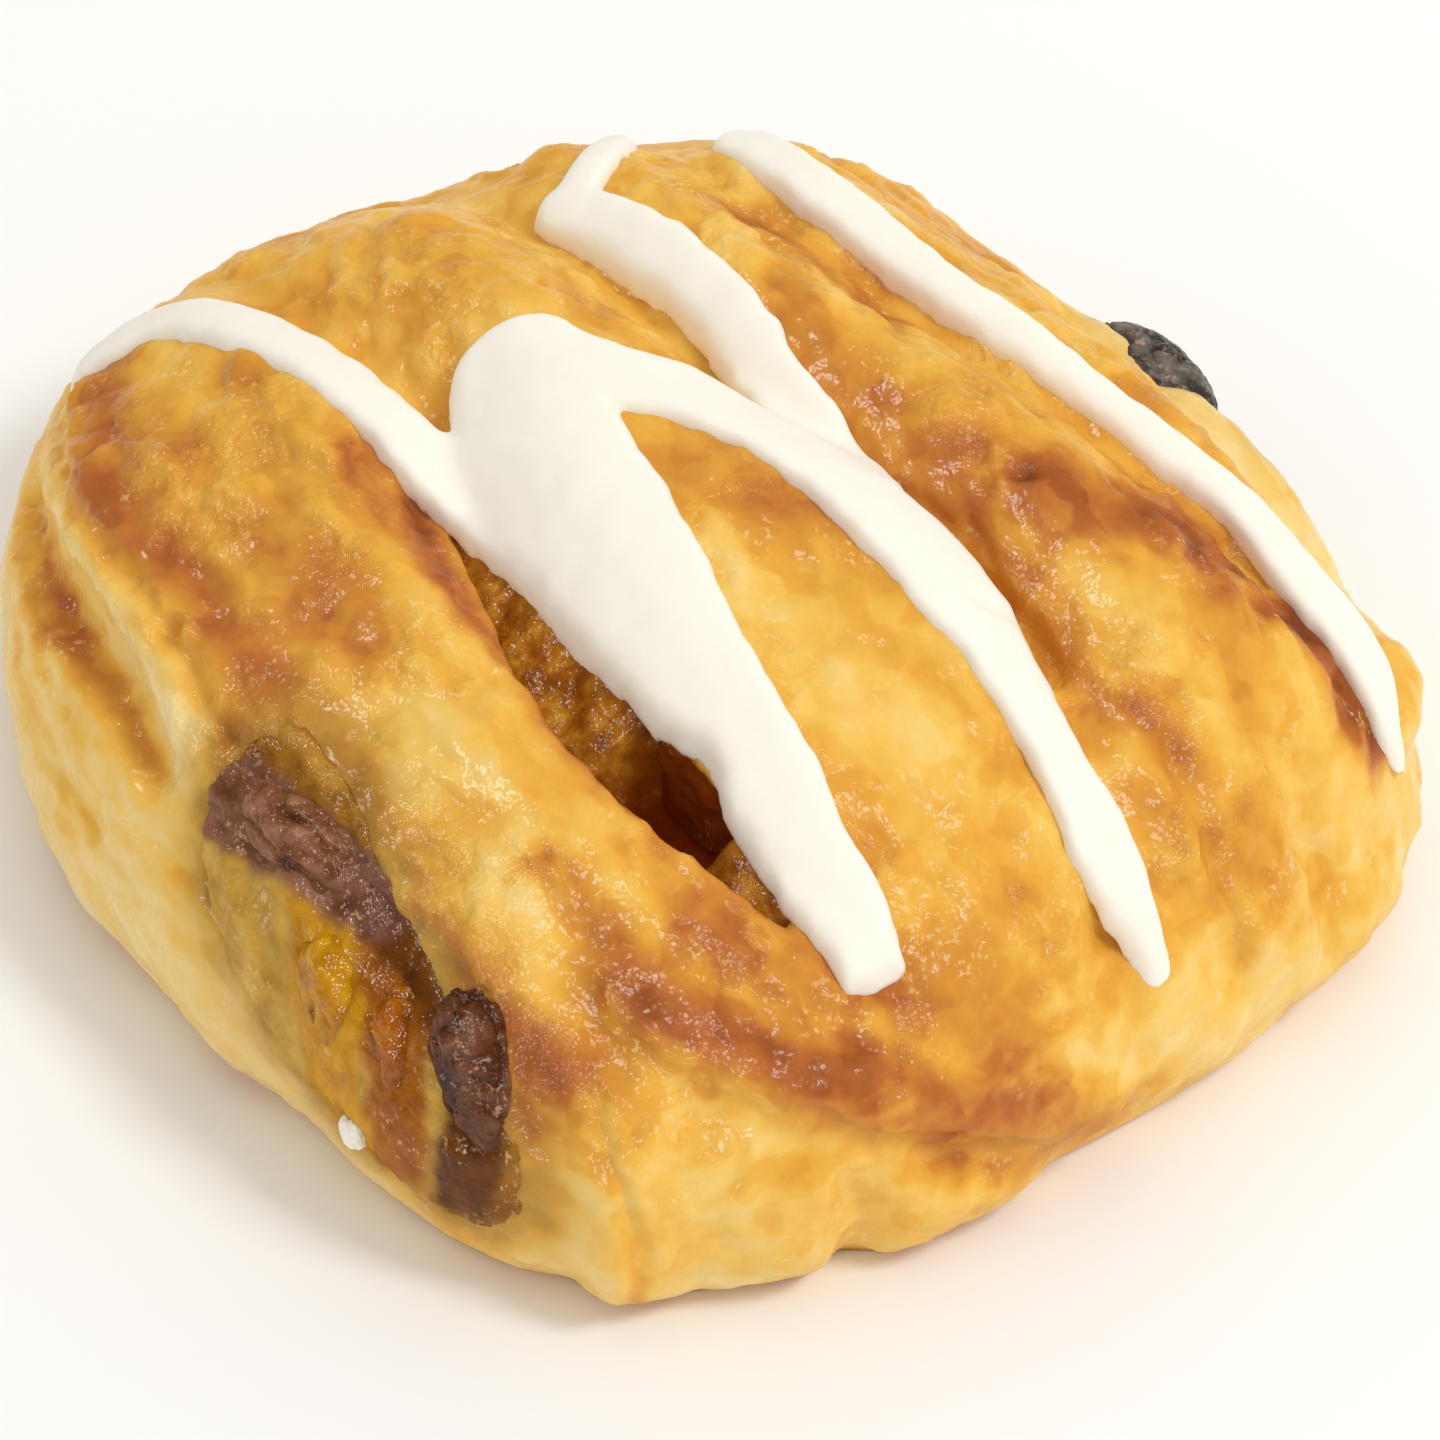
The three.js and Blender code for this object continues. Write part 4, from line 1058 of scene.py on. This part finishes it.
def buildIcing():
    cell = icing["cell"]
    xs, ys = (np.arange(low, high, cell) for low, high in icing["area"])
    gridX, gridY = (g.ravel() for g in np.meshgrid(xs, ys, indexing="ij"))
    places = np.column_stack([gridX, gridY])
    flat = np.column_stack([gridX, gridY, np.zeros(len(gridX))])
    thick = icingThickness(places, flat)
    level = skinHeight(gridX, gridY, icing["follow"])
    level = blur(level.reshape(len(xs), len(ys)), int(icing["levelling"] / cell))
    # as thick on a slope as on the level
    slope = np.hypot(*np.gradient(level, cell)).ravel()
    thick = np.where(thick > 0, thick * np.minimum(np.hypot(1, slope), icing["mostOnSlope"]), thick)
    level = level.ravel()
    top = level + thick
    bottom = level - icing["under"]
    used = (thick > 0.1 - icing["under"]).reshape(len(xs), len(ys))
    number = np.full(used.shape, -1)
    count = int(used.sum())
    number[used] = np.arange(count)
    keep = used.ravel()
    points = np.vstack([np.column_stack([gridX, gridY, height])[keep] for height in (top, bottom)])
    quads = used[:-1, :-1] & used[1:, :-1] & used[1:, 1:] & used[:-1, 1:]
    filled = np.pad(quads, 1)
    faces = []
    for i, j in np.argwhere(quads):
        corners = ((i, j), (i + 1, j), (i + 1, j + 1), (i, j + 1))
        a, b, c, d = (int(number[corner]) for corner in corners)
        faces += [(a, b, c, d), (d + count, c + count, b + count, a + count)]
        # walls where the next square is empty
        for p, q, nextI, nextJ in ((a, b, i, j - 1), (c, d, i, j + 1), (d, a, i - 1, j), (b, c, i + 1, j)):
            if not filled[nextI + 1, nextJ + 1]:
                faces.append((p, p + count, q + count, q))
    thing = makeObject("icing", points, faces)
    evenMesh(thing, detail["icing"])
    smooth = relax(thing, readPoints(thing), 0.5, 4)
    size, height = icing["ripple"]
    smooth += readNormals(thing) * (height * noiseAt(smooth, size, 54, 2))[:, None]
    # never past the top of the CAD box
    smooth[:, 2] = np.minimum(smooth[:, 2], cadBox[1][2] / mm - 0.02)
    writePoints(thing, smooth)
    thinOut(thing, detail["mostTriangles"], readNormals(thing)[:, 2] < -0.5)
    smoothShade(thing)
    return thing


print("icing")
icingPiece = buildIcing()
icingDrop = fruitPiece("icing_drop", fruit["icingDrop"], *fruit["drop"], 71)


# materials

def setInputs(tree, node, values):
    # values are sockets to link, numbers or hex colours
    for key, value in values.items():
        if isinstance(value, bpy.types.NodeSocket):
            tree.links.new(value, node.inputs[key])
        else:
            node.inputs[key].default_value = toLinear(value) if isinstance(value, str) else value


def addNode(tree, kind, inputs, output=0, stops=(), **settings):
    # stops are those of a colour ramp; gives back one of the node's outputs
    made = tree.nodes.new("ShaderNode" + kind)
    for key, value in settings.items():
        setattr(made, key, value)
    setInputs(tree, made, inputs)
    for _ in stops[2:]:
        made.color_ramp.elements.new(0.5)
    for index, (position, colour) in enumerate(stops):
        element = made.color_ramp.elements[index]
        element.position = position
        element.color = toLinear(colour)
    return made.outputs[output]


def newMaterial(name):
    material = bpy.data.materials.new(name)
    material.use_nodes = True
    tree = material.node_tree
    place = addNode(tree, "TexCoord", {}, "Object")
    return material, tree, tree.nodes["Principled BSDF"], place


def grain(place, size, octaves, rough=0.55):
    # what a noise texture takes whose features are `size` mm across
    return {"Vector": place, "Scale": 1000 / size, "Detail": octaves, "Roughness": rough}


def vary(tree, value, middle, amount, base=0.0, clamp=True):
    # base + (value - middle) * amount
    offset = addNode(tree, "Math", {0: value, 1: middle}, operation="SUBTRACT")
    return addNode(tree, "Math", {0: offset, 1: amount, 2: base}, operation="MULTIPLY_ADD", use_clamp=clamp)


def patches(tree, place, size):
    # 0 to 1 in soft patches
    return vary(tree, addNode(tree, "TexNoise", grain(place, size, 4)), 0.3, 2.2)


def flakeTones(tree, place, size):
    # a random value for each thin flake, with wandering, soft edges
    drift = addNode(tree, "TexNoise", grain(place, size, 2, 0.5), "Color")
    shift = addNode(tree, "VectorMath", {0: drift, 1: (size * mm,) * 3}, operation="MULTIPLY")
    moved = addNode(tree, "VectorMath", {0: place, 1: shift}, operation="ADD")
    stretched = addNode(tree, "VectorMath", {0: moved, 1: (0.6, 1, 1)}, operation="MULTIPLY")
    inputs = {"Vector": stretched, "Scale": 1000 / size, "Smoothness": 0.35}
    cells = addNode(tree, "TexVoronoi", inputs, "Color", feature="SMOOTH_F1")
    return addNode(tree, "SeparateColor", {0: cells})


def paintedTones(tree, place, name, size, middle, amount, stops):
    # tones from half of a value that the mesh carries and a noise on top of it
    value = addNode(tree, "Attribute", {}, "Fac", attribute_name=name)
    half = addNode(tree, "Math", {0: value, 1: 0.5}, operation="MULTIPLY")
    cloud = addNode(tree, "TexNoise", grain(place, size, 4))
    return addNode(tree, "ValToRGB", {"Fac": vary(tree, cloud, middle, amount, half)}, "Color", stops)


def cover(tree, colour, name, tone):
    # lays a tone over a colour where the mesh carries the value `name`
    share = addNode(tree, "Attribute", {}, "Fac", attribute_name=name)
    return addNode(tree, "Mix", {0: share, 6: colour, 7: tone}, 2, data_type="RGBA")


def addPaintedGlints(tree, place, colour, strength, tone, size, patchSize, patchMiddle):
    # painted glints: tiny light flecks with sharp edges, gathered in patches
    fine = vary(tree, addNode(tree, "TexNoise", grain(place, size, 2, 0.6)), 0.57, 14)
    patch = vary(tree, addNode(tree, "TexNoise", grain(place, patchSize, 2)), patchMiddle, 7)
    both = addNode(tree, "Math", {0: fine, 1: patch}, operation="MULTIPLY")
    share = addNode(tree, "Math", {0: both, 1: strength}, operation="MULTIPLY")
    return addNode(tree, "Mix", {0: share, 6: colour, 7: tone}, 2, data_type="RGBA")


def relief(tree, place, size, octaves, rough, strength, depth, under=None, share=1.0):
    # fine bumps on top of those under them, lower where the share is less
    cloud = addNode(tree, "TexNoise", grain(place, size, octaves, rough))
    height = addNode(tree, "Math", {0: cloud, 1: share}, operation="MULTIPLY")
    inputs = {"Height": height, "Strength": strength, "Distance": depth * mm}
    if under:
        inputs["Normal"] = under
    return addNode(tree, "Bump", inputs)


def finishShader(tree, shader, place, colour, look):
    normal = relief(tree, place, *look["relief"])
    setInputs(tree, shader, {"Base Color": colour, "Normal": normal, **look["shader"]})
    if "gloss" in look:
        setInputs(tree, shader, {"Coat Normal": relief(tree, place, *look["gloss"], normal)})


# In all the looks, relief and gloss are bumps: size in mm, octaves, roughness, strength and height in mm.
# Painted glints are their tone, their size and that of their patches in mm, and how rare the patches are.

# Laminated dough, egg-washed, baked and brushed with apricot glaze: golden and mottled, deeper where
# it stood proud, with painted shade where it lay in a furrow, satin, with a thin gloss that shows as many
# tiny glints, some of them painted light flecks.
crustLook = {
    "tones": [(0.0, "#f4dea2"), (0.18, "#f1cd7c"), (0.32, "#f0c05a"), (0.46, "#e7aa40"), (0.6, "#d48f34"),
              (0.74, "#b8692e"), (0.88, "#934c20"), (1.0, "#6d3212")],
    # tone of syrup in cut walls, also used for the painted shade by the raisins
    "syrupAndShadeTone": "#8a3e06",
    "mottle": (4.5, 0.12),   # size in mm, and how far it moves the tone
    "speckle": (1.2, 0.1),
    "flake": (2.2, 0.12),
    # painted glints: light flecks in the colour that stand in for highlights
    "paintedGlints": ("#fbe2a6", 0.55, 5, 0.53),
    "paintedGlintStrength": 0.4,
    "relief": (2.2, 3, 0.55, 0.4, 0.35),
    "wrinkles": (0.9, 2, 0.5, 0.7, 0.4),  # where flakes are loose
    "gloss": (1.3, 2, 0.55, 1.0, 0.3),
    "leastGloss": 0.5,       # share of that gloss where no flakes are loose
    "roughness": (0.3, 0.7, 0.5, 0.7),  # the mottle's low and high, and how rough it is at each
    "shader": {"IOR": 1.45, "Specular IOR Level": 0.05, "Subsurface Weight": 0.15,
               "Subsurface Radius": (1.0, 0.5, 0.2), "Subsurface Scale": 0.0014,
               "Coat Weight": 0.4, "Coat Roughness": 0.18, "Coat IOR": 1.46},
}
soakedLook = {"light": "#d6a94a", "shade": "#a67a2c", "size": 2.6}  # dough that took up syrup, in patches


def soakedDough(tree, place):
    inputs = {0: patches(tree, place, soakedLook["size"]), 6: soakedLook["light"], 7: soakedLook["shade"]}
    return addNode(tree, "Mix", inputs, 2, data_type="RGBA")


def bakedDough():
    material, tree, shader, place = newMaterial("egg-washed laminated dough")
    mottleSize, mottleAmount = crustLook["mottle"]
    speckleSize, speckleAmount = crustLook["speckle"]
    flakeSize, flakeAmount = crustLook["flake"]
    mottle = addNode(tree, "TexNoise", grain(place, mottleSize, 4))
    speckle = addNode(tree, "TexNoise", grain(place, speckleSize, 3, 0.7))
    brown = addNode(tree, "Attribute", {}, "Fac", attribute_name="brown")
    tone = vary(tree, mottle, 0.5, mottleAmount, brown, False)
    tone = vary(tree, speckle, 0.5, speckleAmount, tone, False)
    tone = vary(tree, flakeTones(tree, place, flakeSize), 0.5, flakeAmount, tone)
    colour = addNode(tree, "ValToRGB", {"Fac": tone}, "Color", crustLook["tones"])
    colour = cover(tree, colour, "soaked", soakedDough(tree, place))
    # syrup in the cut walls and painted shade by the raisins, in one dark tone
    colour = cover(tree, colour, "syrupAndShade", crustLook["syrupAndShadeTone"])
    # painted glints
    colour = addPaintedGlints(tree, place, colour, crustLook["paintedGlintStrength"], *crustLook["paintedGlints"])
    rough = addNode(tree, "MapRange", dict(enumerate((mottle, *crustLook["roughness"]))))
    # fine relief: soft everywhere and sharper where flakes are loose; the gloss follows a finer grain
    loose = addNode(tree, "Attribute", {}, "Fac", attribute_name="glint")
    glossy = addNode(tree, "Math", {0: loose, 1: crustLook["leastGloss"]}, operation="ADD")
    normal = relief(tree, place, *crustLook["relief"])
    normal = relief(tree, place, *crustLook["wrinkles"], normal, loose)
    gloss = relief(tree, place, *crustLook["gloss"], normal, glossy)
    values = {"Base Color": colour, "Roughness": rough, "Normal": normal, "Coat Normal": gloss}
    setInputs(tree, shader, {**values, **crustLook["shader"]})
    return material


# Sugar icing, poured warm and set: white with a warm cast, satin, light passing a little way in.
icingLook = {
    "tone": "#fcf6ea",
    "shade": "#f6eedc",
    "cloud": 6,  # mm
    "relief": (1.4, 2, 0.55, 0.15, 0.3),
    "shader": {"Roughness": 0.55, "IOR": 1.45, "Specular IOR Level": 0.2, "Subsurface Weight": 0.25,
               "Subsurface Radius": (1.0, 0.88, 0.7), "Subsurface Scale": 0.0012},
}


def sugarIcing():
    material, tree, shader, place = newMaterial("set sugar icing")
    cloud = addNode(tree, "TexNoise", grain(place, icingLook["cloud"], 3))
    inputs = {0: cloud, 6: icingLook["tone"], 7: icingLook["shade"]}
    finishShader(tree, shader, place, addNode(tree, "Mix", inputs, 2, data_type="RGBA"), icingLook)
    return material


# Apple cooked down with sugar and cinnamon: brown syrup and crumb, wet. In the cut faces the dough around
# it has taken up syrup, the apple is amber and caramel, and raisin skin has stained it plum.
fillingLook = {
    "tones": [(0.0, "#6a3008"), (0.35, "#8c480c"), (0.65, "#ac6816"), (1.0, "#c88c26")],
    "lumps": (3.5, 0.3, 1.0),  # size in mm, the noise's middle and how far it moves the tone
    "crumbTones": [(0.3, "#7e420a"), (0.45, "#9a5a12"), (0.58, "#b4741a"), (0.7, "#cc922c")],
    "crumb": 2,                # mm
    "deepTone": "#c45204",
    # painted glints: light flecks in the colour that stand in for highlights
    "paintedGlints": ("#f2c896", 0.6, 4, 0.5),
    "paintedGlintStrength": 0.45,
    "zones": {"syrup": ("#a8701e", "#744210"), "caramel": ("#b06a18", "#84420c"),
              "amber": ("#d89c14", "#a86a08"), "dark": ("#74400e", "#44220a"),
              "plum": ("#966450", "#5a3220")},
    "zonePatch": 2.2,          # mm
    "relief": (1.6, 3, 0.55, 0.5, 0.5),
    "gloss": (1.3, 2, 0.55, 1.0, 0.4),
    "shader": {"Roughness": 0.6, "IOR": 1.45, "Specular IOR Level": 0.0, "Subsurface Weight": 0.25,
               "Subsurface Radius": (1.0, 0.4, 0.12), "Subsurface Scale": 0.0014,
               "Coat Weight": 0.42, "Coat Roughness": 0.16},
}


def applesInSyrup():
    material, tree, shader, place = newMaterial("apple in brown syrup")
    colour = paintedTones(tree, place, "lump", *fillingLook["lumps"], fillingLook["tones"])
    crumb = addNode(tree, "TexNoise", grain(place, fillingLook["crumb"], 3, 0.6))
    crumbs = addNode(tree, "ValToRGB", {"Fac": crumb}, "Color", fillingLook["crumbTones"])
    colour = cover(tree, colour, "crumb", crumbs)
    colour = cover(tree, colour, "deep", fillingLook["deepTone"])
    colour = cover(tree, colour, "soakedDough", soakedDough(tree, place))
    patchy = patches(tree, place, fillingLook["zonePatch"])
    for name, (light, shade) in fillingLook["zones"].items():
        tone = addNode(tree, "Mix", {0: patchy, 6: light, 7: shade}, 2, data_type="RGBA")
        colour = cover(tree, colour, name, tone)
    # no painted glints down in the deep hole
    deep = addNode(tree, "Attribute", {}, "Fac", attribute_name="deep")
    strength = vary(tree, deep, 1.0, -fillingLook["paintedGlintStrength"])
    colour = addPaintedGlints(tree, place, colour, strength, *fillingLook["paintedGlints"])
    finishShader(tree, shader, place, colour, fillingLook)
    return material


# Raisin: dried grape skin, plum-brown or black, lighter on its folds and darker between them as painted
# highlight and shade, sticky with syrup, with painted glints.
raisinLook = {
    "plump": [(0.0, "#4a2812"), (0.4, "#784828"), (1.0, "#a6745a")],
    "red": [(0.0, "#30140a"), (0.45, "#582e16"), (1.0, "#805236")],
    "black": [(0.0, "#24201c"), (0.45, "#46403a"), (1.0, "#887e72")],
    "folds": (2.2, 0.45, 2.0),  # size in mm, the noise's middle and how far it moves the tone
    # painted glints: light flecks in the colour that stand in for highlights
    "paintedGlints": ("#e8b89a", 0.55, 3, 0.55),
    "paintedGlintStrength": 0.4,
    "relief": (1.1, 3, 0.55, 0.6, 0.4),
    "gloss": (1.1, 2, 0.55, 0.9, 0.35),
    "shader": {"Roughness": 0.6, "IOR": 1.45, "Specular IOR Level": 0.0, "Subsurface Weight": 0.1,
               "Subsurface Radius": (1.0, 0.3, 0.2), "Subsurface Scale": 0.0008,
               "Coat Weight": 0.6, "Coat Roughness": 0.18},
}


def raisinSkin(kind):
    material, tree, shader, place = newMaterial("raisin skin, " + kind)
    # painted highlight on the folds and painted shade in the creases
    colour = paintedTones(tree, place, "fold", *raisinLook["folds"], raisinLook[kind])
    colour = addPaintedGlints(tree, place, colour, raisinLook["paintedGlintStrength"], *raisinLook["paintedGlints"])
    finishShader(tree, shader, place, colour, raisinLook)
    return material


# Cooked apple: amber, light passes deep into it, edges stained brown by the syrup.
appleLook = {
    "amber": [(0.0, "#945608"), (0.4, "#be7f0a"), (0.75, "#d49a10"), (1.0, "#e4b838")],
    "caramel": [(0.0, "#783c06"), (0.45, "#a05808"), (0.8, "#b86e0e"), (1.0, "#cc861c")],
    "patch": 2.6,  # mm
    "relief": (1.5, 3, 0.55, 0.6, 0.5),
    "gloss": (1.2, 2, 0.55, 0.8, 0.4),
    "shader": {"Roughness": 0.5, "IOR": 1.42, "Specular IOR Level": 0.0, "Subsurface Weight": 0.4,
               "Subsurface Radius": (1.0, 0.5, 0.12), "Subsurface Scale": 0.002,
               "Coat Weight": 0.7, "Coat Roughness": 0.15},
}


def cookedApple(kind):
    material, tree, shader, place = newMaterial("cooked apple, " + kind)
    patchy = patches(tree, place, appleLook["patch"])
    colour = addNode(tree, "ValToRGB", {"Fac": patchy}, "Color", appleLook[kind])
    finishShader(tree, shader, place, colour, appleLook)
    return material


def dress(thing, material, slotName, *nodes):
    thing.data.materials.clear()
    thing.data.materials.append(material)
    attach(thing, "root")
    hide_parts(*nodes)


print("materials")
dress(pastry, bakedDough(), "crust", "pastry")
setIcing = sugarIcing()
dress(icingPiece, setIcing, "icing", "pastry")
dress(icingDrop, setIcing, "icing", "filling")
dress(fillingPiece, applesInSyrup(), "filling", "filling")
raisinKinds = {"raisin_upper": "plump", "raisin_lower": "red", "raisin_rear": "black"}
for node, thing in raisinPieces.items():
    dress(thing, raisinSkin(raisinKinds[node]), "raisin", node)
appleKinds = {"amber": cookedApple("amber"), "caramel": cookedApple("caramel")}
for node, thing in applePieces.items():
    dress(thing, appleKinds["caramel" if node == "apple_brown" else "amber"], "apple", node)


# studio: pale floor, soft light and the camera at the photograph's angle

studio = {
    # degrees and metres, aimed at 15 mm over the base
    "azimuth": 59.1, "elevation": 44.3, "distance": 0.7,
    "aim": (0, 0, 0.015),
    # the portion sits left of and above the picture's middle
    "slideRight": 0.00266, "slideUp": -0.00685,
    "imageWidth": 1440, "focalPixels": 9520,
    "floorHalf": 3000, "floorLevel": -0.05,  # mm
    "floor": "#f8f7f4", "sky": (1.0, 1.0, 1.0), "skyStrength": 0.76,
    # name, place in metres, width, watts: a soft key from the right, weak fills, and small lamps for glints
    "lamps": [
        ("keyLight", (0.78, 0.55, 1.25), 0.45, 9),
        ("backLight", (-0.8, 0.5, 0.9), 0.9, 1.0),
        ("glintA", (0.95, -0.55, 0.85), 0.22, 3.5),
        ("glintB", (0.1, -0.75, 1.1), 0.22, 3.5),
        ("glintC", (0.2, -0.1, 1.3), 0.22, 3.5),
        ("glintD", (-0.45, -0.5, 1.0), 0.22, 3.5),
        ("glintE", (0.6, 0.2, 1.15), 0.22, 3.5),
        ("glintF", (0.75, -1.0, 0.5), 0.22, 3.5),
    ],
}


def buildFloor():
    half, level = studio["floorHalf"], studio["floorLevel"]
    corners = [(x * half, y * half, level) for x, y in ((-1, -1), (1, -1), (1, 1), (-1, 1))]
    floor = makeObject("floor", corners, [(0, 1, 2, 3)])
    material, tree, shader, _ = newMaterial("matt white card")
    setInputs(tree, shader, {"Base Color": studio["floor"], "Roughness": 0.9, "Specular IOR Level": 0.1})
    floor.data.materials.append(material)


def buildLight():
    world = bpy.data.worlds.new("studio")
    world.use_nodes = True
    background = world.node_tree.nodes["Background"]
    background.inputs["Color"].default_value = (*studio["sky"], 1)
    background.inputs["Strength"].default_value = studio["skyStrength"]
    world.cycles_visibility.glossy = False  # only the small lamps show as highlights
    scene.world = world
    for name, at, width, power in studio["lamps"]:
        data = bpy.data.lights.new(name, "AREA")
        data.shape = "DISK"
        data.size = width
        data.energy = power
        lamp = bpy.data.objects.new(name, data)
        scene.collection.objects.link(lamp)
        lamp.location = at
        # small lamps give the highlights and nothing else, wide ones the rest
        lamp.visible_glossy = name.startswith("glint")
        lamp.visible_diffuse = not lamp.visible_glossy
        lamp.rotation_euler = (Vector(studio["aim"]) - Vector(at)).to_track_quat("-Z", "Y").to_euler()


def buildCamera():
    azimuth, elevation = math.radians(studio["azimuth"]), math.radians(studio["elevation"])
    level = math.cos(elevation)
    back = Vector((math.sin(azimuth) * level, -math.cos(azimuth) * level, math.sin(elevation)))
    right = Vector((math.cos(azimuth), math.sin(azimuth), 0))
    up = back.cross(right)
    data = bpy.data.cameras.new("camera")
    data.sensor_width = 36
    data.lens = studio["focalPixels"] / studio["imageWidth"] * data.sensor_width
    data.clip_start = 0.05
    data.clip_end = 20
    camera = bpy.data.objects.new("camera", data)
    scene.collection.objects.link(camera)
    slide = right * studio["slideRight"] + up * studio["slideUp"]
    camera.location = Vector(studio["aim"]) + back * studio["distance"] + slide
    camera.rotation_euler = back.to_track_quat("Z", "Y").to_euler()
    scene.camera = camera


print("studio")
buildFloor()
buildLight()
buildCamera()
scene.view_settings.view_transform = "Standard"
